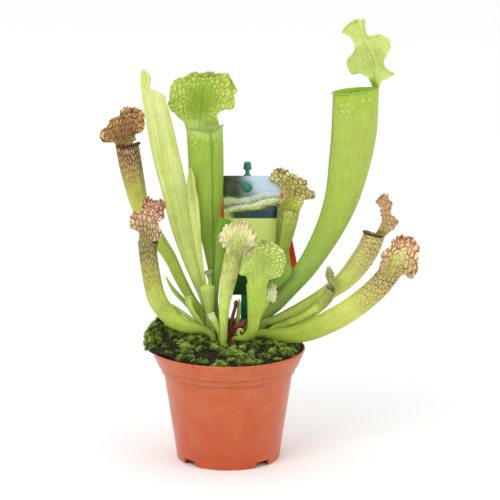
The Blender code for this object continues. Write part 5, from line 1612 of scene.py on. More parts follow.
@dataclass
class MossBed:
    """Moss round the rhizome: a dark bumpy mat grown over with star-shaped tufts, and loose peat crumbs."""

    # Ranges are where a value rises from 0 to 1. Growth is counted for each square metre.
    mat: EarthFinish = EarthFinish("moss_mat", "#120E08", "#2A2414", "#4C4024", grain=1.8)
    crumb_finish: EarthFinish = EarthFinish("peat_crumbs", "#140D08", "#2E1E13", "#5A4230", grain=0.8)
    moss: MossFinish = field(default_factory=MossFinish)
    relief: float = 0.0009
    # The low tufts take a darker copy of the moss colours: painted shade under the upper tufts
    shaded_undergrowth: MossFinish = MossFinish("moss_undergrowth", "#0A1005", "#2A4410", "#5E8622", "#385C18")
    tufts_per_area: float = 108000.0
    undergrowth_per_area: float = 220000.0
    crumbs_per_area: float = 60000.0
    leaves: int = 15
    litter: EarthFinish = EarthFinish("dry_litter", "#7E4E2C", "#B47C4A", "#DCB280", grain=0.8)
    litter_per_area: float = 16000.0
    spill: float = 0.0013
    sag: float = 0.0012
    spill_left: tuple[float, float] = (0.052, 0.057)
    spill_height: tuple[float, float] = (0.0870, 0.0890)
    grown_height: tuple[float, float] = (0.0825, 0.0850)
    mound_height: tuple[float, float] = (0.093, 0.096)
    patch_scale: float = 95.0
    bump_scales: tuple[float, float] = (420.0, 900.0)
    least_cover: float = 0.12
    wall_radius: float = 0.0545
    wall_height: float = 0.083
    wall_lean: float = 0.35
    side_room: float = 0.0022
    side_reach: tuple[float, float] = (0.036, 0.048)
    lush_left: tuple[float, float] = (-0.044, -0.036)
    lush_back: tuple[float, float] = (-0.014, -0.006)
    bumpy_radius: float = 0.0565
    bare_places: tuple[tuple[float, float, float, float], ...] = (
        (-0.042, -0.024, 0.010, 0.013), (-0.006, -0.046, 0.009, 0.0045), (0.030, -0.043, 0.006, 0.004),
    )
    leaf_length: float = 0.0046
    leaf_width: float = 0.00060

    def surface(self, node: Piece, axis: Vector) -> Piece:
        """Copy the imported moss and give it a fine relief.

        Args:
            node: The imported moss.
            axis: Place of the pot's axis.

        Returns:
            The mat, with its "growth", where tufts may stand.
        """
        built = bmesh.new()
        built.from_mesh(node.data)
        bmesh.ops.remove_doubles(built, verts=built.verts[:], dist=1e-6)
        bmesh.ops.subdivide_edges(built, edges=built.edges[:], cuts=2, use_grid_fill=True, smooth=0.35)
        built.normal_update()
        growth = built.verts.layers.float.new("growth")
        for vert in built.verts:
            place = vert.co - axis
            spilling = float(
                smooth_step(*self.spill_left, -place.x) * smooth_step(*self.spill_height, vert.co.z)
            )
            steep = -0.45 if spilling > 0.0 or (place.x < -0.045 and vert.co.z > 0.0915) else 0.05
            upward = float(smooth_step(steep, steep + 0.4, vert.normal.z))
            coarse, fine = (noise.noise(place * scale) for scale in self.bump_scales)
            patch = noise.noise(place * self.patch_scale + Vector((3.0, 8.0, 1.0)))
            radius = math.hypot(place.x, place.y)
            high = float(smooth_step(*self.grown_height, vert.co.z))
            # Tufts keep off the pot's wall, less so at the sides and not at all where the moss rises over it
            room = self.wall_radius + self.wall_lean * (vert.co.z - self.wall_height)
            room += self.side_room * float(smooth_step(*self.side_reach, abs(place.x)))
            mounded = max(float(smooth_step(*self.mound_height, vert.co.z)), spilling)
            clear = 1.0 - float(smooth_step(room, room + 0.002, radius)) * (1.0 - mounded)
            lush = float(
                (1.0 - smooth_step(*self.lush_left, place.x)) * smooth_step(*self.lush_back, place.y)
            )
            thick = max(float(smooth_step(-0.16, 0.16, patch)), lush)
            thick = self.least_cover + (1.0 - self.least_cover) * thick
            covered = 1.0
            for middle_x, middle_y, reach_x, reach_y in self.bare_places:
                away = math.hypot((place.x - middle_x) / reach_x, (place.y - middle_y) / reach_y)
                covered *= 1.0 - 0.9 * math.exp(-away**4)
            vert[growth] = upward * high * thick * clear * covered
            if upward > 0.2 and radius < self.bumpy_radius:
                vert.co += vert.normal * self.relief * (coarse + 0.5 * fine)
            out = self.spill / radius
            vert.co += Vector((place.x * out, place.y * out, -self.sag)) * spilling
        return dress(object_from("moss_mat", built, 80), self.mat.material())

    def tuft(self) -> Piece:
        """Build one star of small pointed leaves, with the value "tip" along each leaf."""
        built = bmesh.new()
        tip = built.verts.layers.float.new("tip")
        for index in range(self.leaves):
            turn = index * GOLDEN_ANGLE
            lift = 0.35 + 0.85 * (index / self.leaves)
            length = self.leaf_length * (1.0 - 0.25 * index / self.leaves)
            out = Vector((math.cos(turn), math.sin(turn), 0.0))
            side = Vector((-math.sin(turn), math.cos(turn), 0.0)) * self.leaf_width / 2
            up = Vector((0.0, 0.0, 1.0))
            base = up * self.leaf_length * 0.30 * index / self.leaves
            middle = base + (out * math.cos(lift) + up * math.sin(lift)) * length * 0.5
            end = middle + (out * math.cos(lift * 0.55) + up * math.sin(lift * 0.55)) * length * 0.5
            places = ((base - side * 0.6, 0.0), (base + side * 0.6, 0.0), (middle + side, 0.55),
                      (middle - side, 0.55), (end, 1.0))
            verts = []
            for place, share in places:
                vert = built.verts.new(place)
                vert[tip] = share
                verts.append(vert)
            built.faces.new(verts[:4])
            built.faces.new((verts[3], verts[2], verts[4]))
        bmesh.ops.triangulate(built, faces=built.faces[:])
        return object_from("moss_tuft", built, 180)

    @staticmethod
    def crumb() -> Piece:
        """Build one rough crumb of peat."""
        built = bmesh.new()
        bmesh.ops.create_icosphere(built, subdivisions=1, radius=0.0006)
        for vert in built.verts:
            vert.co *= 1.0 + 0.45 * noise.noise(vert.co * 1500.0 + Vector((2.0, 5.0, 9.0)))
            vert.co.z *= 0.7
        return object_from("peat_crumb", built, 30)

    @staticmethod
    def grower(name: str, plant: Piece, material: bpy.types.Material) -> bpy.types.NodeTree:
        """Build the nodes that strew copies of a small object over a surface.

        Args:
            name: The tree's name.
            plant: What is strewn.
            material: Its finish.

        Returns:
            The tree, with inputs for the density, the sizes, the tilt and the seed.
        """
        tree = bpy.data.node_groups.new(name, "GeometryNodeTree")
        sockets = tree.interface
        sockets.new_socket("Surface", in_out="INPUT", socket_type="NodeSocketGeometry")
        for title, kind, value in (
            ("Density", "NodeSocketFloat", 1000.0), ("Smallest", "NodeSocketFloat", 0.6),
            ("Largest", "NodeSocketFloat", 1.2), ("Tilt", "NodeSocketFloat", 0.5),
            ("Seed", "NodeSocketInt", 1),
        ):
            sockets.new_socket(title, in_out="INPUT", socket_type=kind).default_value = value
        sockets.new_socket("Grown", in_out="OUTPUT", socket_type="NodeSocketGeometry")
        given = tree.nodes.new("NodeGroupInput").outputs
        growth = add_node(tree, "GeometryNodeInputNamedAttribute", {"Name": "growth"}, data_type="FLOAT")
        density = add_node(tree, "ShaderNodeMath", {
            0: growth.outputs["Attribute"], 1: given["Density"],
        }, operation="MULTIPLY")
        spread = add_node(tree, "GeometryNodeDistributePointsOnFaces", {
            "Mesh": given["Surface"], "Density": density.outputs[0], "Seed": given["Seed"],
        })
        source = add_node(tree, "GeometryNodeObjectInfo", {"Object": plant})
        least = add_node(tree, "ShaderNodeMath", {0: given["Tilt"], 1: -1.0}, operation="MULTIPLY")
        low = add_node(tree, "ShaderNodeCombineXYZ", {0: least.outputs[0], 1: least.outputs[0], 2: 0.0})
        high = add_node(tree, "ShaderNodeCombineXYZ", {0: given["Tilt"], 1: given["Tilt"], 2: 2 * math.pi})
        lean = add_node(tree, "FunctionNodeRandomValue", {
            0: low.outputs[0], 1: high.outputs[0], "Seed": given["Seed"],
        }, data_type="FLOAT_VECTOR")
        turn = add_node(tree, "FunctionNodeEulerToRotation", {0: lean.outputs[0]})
        rotation = add_node(tree, "FunctionNodeRotateRotation", {
            "Rotation": spread.outputs["Rotation"], "Rotate By": turn.outputs[0],
        }, rotation_space="LOCAL")
        size = add_node(tree, "FunctionNodeRandomValue", {
            2: given["Smallest"], 3: given["Largest"], "Seed": given["Seed"],
        }, data_type="FLOAT")
        placed = add_node(tree, "GeometryNodeInstanceOnPoints", {
            "Points": spread.outputs["Points"], "Instance": source.outputs["Geometry"],
            "Rotation": rotation.outputs[0], "Scale": size.outputs[1],
        })
        shade = add_node(tree, "FunctionNodeRandomValue", {2: 0.0, 3: 1.0, "Seed": 11}, data_type="FLOAT")
        marked = add_node(tree, "GeometryNodeStoreNamedAttribute", {
            "Geometry": placed.outputs[0], "Name": "tuft_shade", "Value": shade.outputs[1],
        }, data_type="FLOAT", domain="INSTANCE")
        real = add_node(tree, "GeometryNodeRealizeInstances", {0: marked.outputs[0]})
        dressed = add_node(tree, "GeometryNodeSetMaterial", {
            "Geometry": real.outputs[0], "Material": material,
        })
        add_node(tree, "NodeGroupOutput", {0: dressed.outputs[0]})
        return tree

    @staticmethod
    def grow(
        name: str, surface: Piece, tree: bpy.types.NodeTree, values: dict[str, float],
    ) -> Piece:
        """Run the strewing nodes on a copy of a surface.

        Args:
            name: The new piece's name.
            surface: The surface.
            tree: The nodes.
            values: Values of the tree's inputs, by name.

        Returns:
            The piece as a plain mesh.
        """
        grown = bpy.data.objects.new(name, surface.data.copy())
        bpy.context.collection.objects.link(grown)
        modifier = grown.modifiers.new("grow", "NODES")
        modifier.node_group = tree
        for item in tree.interface.items_tree:
            if item.name in values:
                modifier[item.identifier] = values[item.name]
        return as_plain_mesh(grown)

    def build(self, node: Piece, axis: Vector) -> list[Piece]:
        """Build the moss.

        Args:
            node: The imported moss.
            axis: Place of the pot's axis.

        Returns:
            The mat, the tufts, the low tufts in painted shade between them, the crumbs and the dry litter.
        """
        mat = self.surface(node, axis)
        tuft, crumb = self.tuft(), self.crumb()
        tufts = self.grow(
            "moss_tufts", mat, self.grower("moss_growth", tuft, self.moss.material()),
            {"Density": self.tufts_per_area, "Smallest": 0.45, "Largest": 1.10, "Tilt": 0.6, "Seed": 4},
        )
        low_tufts = self.grow(
            "moss_low_tufts", mat, self.grower("low_growth", tuft, self.shaded_undergrowth.material()),
            {"Density": self.undergrowth_per_area, "Smallest": 0.4, "Largest": 0.75, "Tilt": 0.9, "Seed": 6},
        )
        crumbs = self.grow(
            "moss_crumbs", mat, self.grower("crumb_strewing", crumb, self.crumb_finish.material()),
            {"Density": self.crumbs_per_area, "Smallest": 0.5, "Largest": 1.7, "Tilt": 1.5, "Seed": 9},
        )
        litter = self.grow(
            "moss_litter", mat, self.grower("litter_strewing", crumb, self.litter.material()),
            {"Density": self.litter_per_area, "Smallest": 1.0, "Largest": 2.8, "Tilt": 1.5, "Seed": 3},
        )
        for helper in (tuft, crumb):
            bpy.data.objects.remove(helper, do_unlink=True)
        return [mat, tufts, low_tufts, crumbs, litter]


@dataclass
class Studio:
    """White floor, soft lamps and the camera."""

    floor_size: float = 14.0
    aim_height: float = 0.17
    key_place: tuple[float, float, float] = (-1.1, -1.9, 2.3)
    fill_place: tuple[float, float, float] = (1.9, -1.2, 1.3)
    world_light: float = 0.97
    key_power: float = 27.0
    fill_power: float = 6.0
    key_size: float = 1.4
    fill_size: float = 1.6

    def floor(self) -> Piece:
        """Lay the pale floor."""
        built = bmesh.new()
        bmesh.ops.create_grid(built, x_segments=1, y_segments=1, size=self.floor_size / 2)
        floor = object_from("studio_floor", built)
        recipe = Recipe("white_studio_floor", Specular_IOR_Level=0.2)
        cloud = recipe.noise(recipe.place(), 800)
        colour = recipe.along(cloud, ((0.0, "#F9F9F8"), (1.0, "#FCFCFC")))
        recipe.finish(colour, recipe.fade(cloud, 0.2, 0.8, 0.75, 0.85), cloud, 0.0001)
        floor.data.materials.append(recipe.material)
        return floor

    @staticmethod
    def lamp(name: str, place: Vector, aim: Vector, size: float, power: float) -> None:
        """Hang a square soft lamp.

        Args:
            name: Its name.
            place: Where it hangs.
            aim: What it lights.
            size: Its side, in metres.
            power: Its power, in watts.
        """
        light = bpy.data.lights.new(name, "AREA")
        light.size = size
        light.energy = power
        lamp = bpy.data.objects.new(name, light)
        lamp.location = place
        lamp.rotation_euler = (aim - place).to_track_quat("-Z", "Y").to_euler()
        bpy.context.collection.objects.link(lamp)

    def build(self, shift: Vector) -> None:
        """Set up floor, lamps, world and camera.

        Args:
            shift: From the pot's axis to its place in the frame.
        """
        self.floor()
        aim = shift + Vector((0.0, 0.0, self.aim_height))
        self.lamp("key_lamp", Vector(self.key_place) + shift, aim, self.key_size, self.key_power)
        self.lamp("fill_lamp", Vector(self.fill_place) + shift, aim, self.fill_size, self.fill_power)
        world = bpy.data.worlds.new("white_room")
        world.use_nodes = True
        background = world.node_tree.nodes["Background"]
        background.inputs["Color"].default_value = (1.0, 1.0, 1.0, 1.0)
        background.inputs["Strength"].default_value = self.world_light
        scene = bpy.context.scene
        scene.world = world
        scene.view_settings.view_transform = "Standard"
        camera = bpy.data.cameras.new("plant_camera")
        camera.lens = VIEWER.lens
        camera.sensor_width = VIEWER.sensor
        camera.clip_end = 50.0
        eye = bpy.data.objects.new("plant_camera", camera)
        eye.location = Vector(VIEWER.place) + shift
        eye.rotation_euler = (VIEWER.tilt, 0.0, 0.0)
        bpy.context.collection.objects.link(eye)
        scene.camera = eye


def one(colour: str) -> Stops:
    """The same colour all along a leaf."""
    return ((0, colour), (TIP, colour))


GREEN_TIP: Stops = ((0, "#7C8C3A"), (0.2, "#90A83E"), (0.7, "#A0BC44"), (1, "#AEC650"), (2, "#B6CC58"))
YOUNG_LEAF = LeafFinish(
    "young_leaf_skin", GREEN_TIP,
    streaks=0.16, band_share=0.25, band_width=1.2,
)
PALE_LEAF = LeafFinish(
    "pale_leaf_skin",
    ((0, "#A0AE4C"), (0.4, "#BCCC60"), (0.72, "#C0CE68"), (0.86, "#A2B24C"), (1, "#9CAE44")),
    band_share=0.3, band_width=1.4,
)
RED_SHOOT = LeafFinish(
    "red_shoot_skin",
    ((0, "#5E3A28"), (0.3, "#7A3430"), (0.75, "#86303C"), (1, "#5A3A34")),
    streaks=0.3, blotches=0.2, roughness=0.35,
)
LEAF_FINISHES: dict[str, LeafFinish] = {
    "pitcher_tall_right": LeafFinish(
        "tall_right_skin",
        ((0, "#78803C"), (0.08, "#869E42"), (0.3, "#90AE4A"), (0.55, "#A0B844"), (0.9, "#A6BA4E"),
         (0.99, "#9CB83A"), (1.12, "#B0C26C"), (2, "#C2D27A")),
        window_amounts=((0.88, 0), (0.94, 0.6), (0.975, 0.6), (0.99, 0.1), (2, 0.35)),
        margin_tint="#CADA7A", margin_share=0.5, veins=one("#8CA83E"),
        rib_amounts=((0.9, 0.15), (1.1, 0.3), (1.5, 0.2)), rib_gap=3.2,
        net_amounts=((1.05, 0), (1.2, 0.12), (2, 0.15)), windows="#D4E090", window_start=0.24,
        tube_window_start=0.3, tube_cell=(4.2, 4.6), hood_cell=(2.2, 3.6), lip="#8CAE3E", keel="#5E8A2C",
        keel_share=0.8, left_shade=0.2, streaks=0.14, glow=0.25,
    ),
    "pitcher_tall_green": LeafFinish(
        "tall_green_skin",
        ((0, "#6E7A3A"), (0.1, "#7A9238"), (0.4, "#86A234"), (0.95, "#92AE34"), (1.01, "#BCCC7C"),
         (1.1, "#B0C45C"), (1.25, "#86A224"), (2, "#86A228")),
        rib_amounts=((0, 0.1), (0.9, 0.15), (1.1, 0.45), (1.4, 0.8), (2, 0.5)),
        window_amounts=((0.9, 0), (0.95, 0.7), (0.99, 0.5), (1.12, 0.6), (2, 0.95)),
        margin_tint="#B4C858", margin_share=0.6, veins=((0, "#5C8424"), (1.3, "#567A20"), (2, "#6E8E2A")),
        rib_gap=2.2, net_amounts=((1, 0), (1.2, 0.2), (2, 0.35)), windows="#CCD876", window_start=0.15,
        tube_window_start=0.27, window_from=0.18, tube_cell=(3, 5.2), hood_cell=(1.7, 3.8), window_margin=1,
        lip="#86A63C", keel="#557A22", keel_share=0.7, streaks=0.16,
    ),
    "pitcher_unopened": LeafFinish(
        "unopened_skin",
        ((0, "#9AAA4A"), (0.12, "#BED05E"), (0.35, "#BACC5A"), (0.7, "#BAC862"), (0.9, "#C8D27E"),
         (0.95, "#AEC056"), (1, "#A6BA48")),
        bands="#D8DC9A", band_share=0.6, band_width=3.2, veins=one("#9C9C52"),
        rib_amounts=((0, 0.15), (0.6, 0.25), (0.9, 0.45)), rib_gap=2.8, glow=0.2,
    ),
    "leaf_pale_narrow": PALE_LEAF,
    "pitcher_left_red": LeafFinish(
        "left_red_skin",
        ((0, "#82923A"), (0.3, "#9CAE3A"), (0.7, "#C2D058"), (0.83, "#B2B24C"), (0.94, "#7E5E3A"),
         (1, "#5E4028"), (1.06, "#9A9040"), (1.2, "#A47448"), (1.6, "#B67E56"), (2, "#DEB47E")),
        veins=((0, "#8A6A34"), (0.7, "#84562E"), (0.95, "#5E3020"), (1.2, "#4E1C18"), (2, "#602620")),
        rib_amounts=((0, 0.05), (0.4, 0.2), (0.6, 0.5), (0.9, 0.9), (1.05, 0.7), (1.25, 1)),
        net_amounts=((0.7, 0), (0.85, 0.5), (0.97, 0.9), (1.05, 0.6), (1.2, 0.95), (2, 0.9)),
        window_amounts=((0.78, 0), (0.9, 0.7), (1.02, 0.9), (1.2, 0.4), (2, 1)),
        margin_tint="#D0A668", margin_share=0.4, rib_gap=1.5, windows="#DCBC7C", window_margin=0.9,
        window_from=0.35, tube_cell=(1.3, 4.8), hood_cell=(1.2, 4.6), vein_width=0.18, rib_width=0.18,
        lip="#3A1418", keel="#4E5A2A", keel_share=0.6,
    ),
    "pitcher_front_left": LeafFinish(
        "front_left_skin",
        ((0, "#86A03C"), (0.35, "#A6BC42"), (0.62, "#B2BE50"), (0.8, "#A8AC4A"), (0.95, "#86863C"),
         (1.1, "#8E8A3E"), (1.35, "#9C8E52"), (1.6, "#C29C76"), (2, "#CCA484")),
        veins=((0, "#7A5A30"), (0.9, "#522A18"), (1.2, "#5A2A1E"), (1.6, "#7A2C26"), (2, "#86342C")),
        rib_amounts=((0, 0), (0.5, 0.1), (0.75, 0.4), (0.9, 0.9), (2, 1)),
        net_amounts=((0.55, 0), (0.72, 0.4), (0.9, 0.75), (1.2, 0.9), (2, 0.95)),
        window_amounts=((0, 0), (0.75, 0.1), (0.9, 0.3), (1.05, 0.3), (1.3, 0.6), (2, 1)),
        margin_tint="#CCA284", margin_share=0.7, rib_gap=1.7, windows="#EAD2AC", window_start=0.2,
        window_margin=0.5, tube_cell=(1.6, 5), hood_cell=(1.4, 4.2), vein_width=0.17, rib_width=0.18,
        lip="#6C4A2C", blotches=0.16,
    ),
    "pitcher_right_dark_lip": LeafFinish(
        "dark_lip_skin",
        ((0, "#788848"), (0.15, "#92A648"), (0.45, "#B8CA50"), (0.7, "#CED66C"), (0.97, "#BEB464"),
         (1.08, "#B0A850"), (1.25, "#BC9068"), (2, "#D09E80")),
        rib_amounts=((0.7, 0), (0.85, 0.3), (0.97, 0.7), (1.1, 0.4), (2, 0.7)),
        net_amounts=((0.68, 0), (0.84, 0.6), (0.97, 0.95), (1.2, 0.6), (2, 0.8)),
        window_amounts=((0, 0), (0.7, 0.1), (0.84, 0.6), (0.97, 0.9), (1.3, 0.5), (2, 0.6)),
        margin_tint="#D4A280", margin_share=0.6, veins=((0, "#8A5A3A"), (1, "#743226"), (2, "#7A3C30")),
        rib_gap=2, windows="#E4DCA4", tube_cell=(2, 3.6), hood_cell=(1.2, 3.4), vein_width=0.12,
        lip="#2E1A12", left_shade=0.15,
    ),
    "pitcher_right_red_net": LeafFinish(
        "red_net_skin",
        ((0, "#80903A"), (0.12, "#8AA22C"), (0.45, "#9EB43A"), (0.7, "#C6CE5E"), (0.9, "#B8B45C"),
         (0.98, "#A69E54"), (1.08, "#A4A84A"), (1.35, "#BEC068"), (1.6, "#D6C684"), (2, "#E0C08E")),
        veins=((0, "#8A5A34"), (1, "#64281E"), (1.2, "#5E3420"), (1.6, "#7A3024"), (2, "#803228")),
        net_amounts=((0.7, 0), (0.84, 0.6), (0.95, 0.95), (1.1, 0.7), (1.3, 0.95), (2, 1)),
        window_amounts=((0, 0), (0.75, 0.1), (0.95, 0.4), (1.2, 0.3), (1.5, 0.7), (2, 0.8)),
        margin_tint="#CE9674", margin_share=0.75, rib_amounts=((0.7, 0), (0.82, 0.5), (0.95, 0.9), (2, 1)),
        rib_width=0.13, windows="#EED0A6", window_margin=0.6, tube_cell=(2.4, 4.6), hood_cell=(1.6, 4.6),
        vein_width=0.16, lip="#6E2A26", midrib_clear=0.6,
    ),
    "pitcher_dying": LeafFinish(
        "withered_skin",
        ((0, "#84943E"), (0.3, "#AEC04C"), (0.75, "#C2CC5E"), (0.93, "#A2A652"), (1.1, "#BCBC70"),
         (2, "#CAC686")),
        veins=one("#3E3420"), rib_amounts=((0, 0.1), (0.7, 0.25), (0.95, 0.8)), rib_gap=1.3,
        net_amounts=((0, 0), (0.8, 0.2), (1, 0.6)), hood_cell=(1.6, 2), lip="#4A3822", streaks=0.22,
        blotches=0.25, roughness=0.6, glow=0,
    ),
    "pitcher_front_cream": LeafFinish(
        "cream_skin",
        ((0, "#98B240"), (0.35, "#C2D65E"), (0.85, "#CED678"), (1.1, "#AEB858"), (1.35, "#A4AE50"),
         (1.65, "#C4C474"), (2, "#EEE4A8")),
        rib_amounts=((0, 0), (0.5, 0.05), (0.7, 0.6), (1, 1), (1.4, 0.8), (2, 0.3)),
        net_amounts=((0.45, 0), (0.7, 0.25), (1, 0.4), (1.3, 0.3), (2, 0.15)),
        margin_tint="#F0E2B2", margin_share=0.8, veins=((0, "#6E6A30"), (1, "#3E3C16"), (2, "#8A7E44")),
        rib_gap=1.5, rib_width=0.18, windows="#EDE6B6",
        window_amounts=((0, 0), (0.9, 0.1), (1.2, 0.2), (2, 0.35)), tube_cell=(1.3, 7.5), hood_cell=(1, 4),
        vein_width=0.14, lip="#5E5026", blotches=0.16,
    ),
    "pitcher_front_green": LeafFinish(
        "front_green_skin",
        ((0, "#869C34"), (0.4, "#9CB43A"), (0.9, "#A4BC40"), (1.15, "#A2B852"), (1.5, "#98AE48"),
         (2, "#7E9430")),
        veins=one("#7A9430"), rib_amounts=((0, 0.1), (1, 0.15), (1.2, 0.3), (2, 0.4)), rib_gap=2.2,
        net_amounts=((1, 0), (1.2, 0.2), (2, 0.35)), windows="#D6DA88",
        window_amounts=((1, 0), (1.2, 0.4), (1.6, 0.9), (2, 0.95)), margin_share=0.4, margin_tint="#A6B854",
        window_start=0.15, window_from=0.25, tube_cell=(2.4, 6), hood_cell=(1.5, 2.2), window_margin=0.85,
        streaks=0.16,
    ),
    "pitcher_back_olive": LeafFinish(
        "back_olive_skin",
        ((0, "#6C7A2C"), (0.4, "#82942E"), (0.85, "#A2B040"), (0.97, "#A0AE3C"), (1.02, "#C0C840"),
         (1.18, "#B6B43E"), (1.35, "#9A8E3E"), (1.6, "#BAAE5C"), (2, "#D4C886")),
        veins=((0, "#5A5A22"), (1, "#4E4A1C"), (1.3, "#36200E"), (2, "#422814")),
        rib_amounts=((0, 0.1), (0.6, 0.25), (0.97, 0.5), (1.1, 0.8), (2, 1)),
        margin_tint="#DECE92", margin_share=0.6, rib_gap=1.9,
        net_amounts=((0.88, 0), (1, 0.3), (1.15, 0.5), (2, 0.9)), windows="#F2E6AA",
        window_amounts=((0.85, 0), (0.97, 0.6), (1.2, 0.35), (2, 1)), left_shade=0.5, window_start=0.15,
        window_margin=0.5, window_from=0.25, tube_cell=(1.7, 5.6), hood_cell=(1.9, 3), vein_width=0.16,
        lip="#7E8430", keel="#4A5A22", keel_share=0.9,
    ),
    "pitcher_young_green": LeafFinish(
        "glossy_young_skin",
        ((0, "#727E30"), (0.5, "#7E9C34"), (0.8, "#84A634"), (0.9, "#669C20"), (2, "#609818")),
        roughness=0.3, lip="#4E8814", streaks=0.16,
    ),
    "pitcher_frilled_small": LeafFinish(
        "frilled_small_skin",
        ((0, "#7E943C"), (0.6, "#A0B850"), (1.1, "#C2D478"), (2, "#E6EEA8")),
        veins=one("#AEAE60"), rib_amounts=((0, 0), (1, 0.15), (2, 0.2)), rib_gap=1.6,
        net_amounts=((0, 0), (1, 0.15), (2, 0.3)), hood_cell=(1.1, 1.6), margin_tint="#FBFBD6",
        margin_share=0.8, glow=0.3,
    ),
    "pitcher_round_hood": LeafFinish(
        "round_hood_skin",
        ((0, "#6E8A34"), (0.5, "#7EA03C"), (0.85, "#86A842"), (1, "#84A040")),
    ),
    "bud_green": YOUNG_LEAF,
    "pitcher_tiny_left": YOUNG_LEAF,
    "leaf_narrow_left": YOUNG_LEAF,
    "leaf_short_left": PALE_LEAF,
    "pitcher_cut_short": LeafFinish(
        "cut_leaf_skin",
        ((0, "#8C9A40"), (0.5, "#AABC4C"), (0.8, "#BECA68"), (0.93, "#D2DC9C"), (2, "#DAE0AE")),
        lip="#D2D6A8", roughness=0.55,
    ),
    "leaf_dried_tip": LeafFinish(
        "dried_tip_skin",
        ((0, "#84923E"), (0.6, "#A0B04C"), (0.9, "#B4BE6C"), (1, "#AEB070")),
        streaks=0.2, roughness=0.55, lip="#B0AE78",
    ),
    "shoot_red": RED_SHOOT,
    "shoot_green": YOUNG_LEAF,
    "bud_dark_red": RED_SHOOT,
    "shoot_pale_hooked": PALE_LEAF,
}


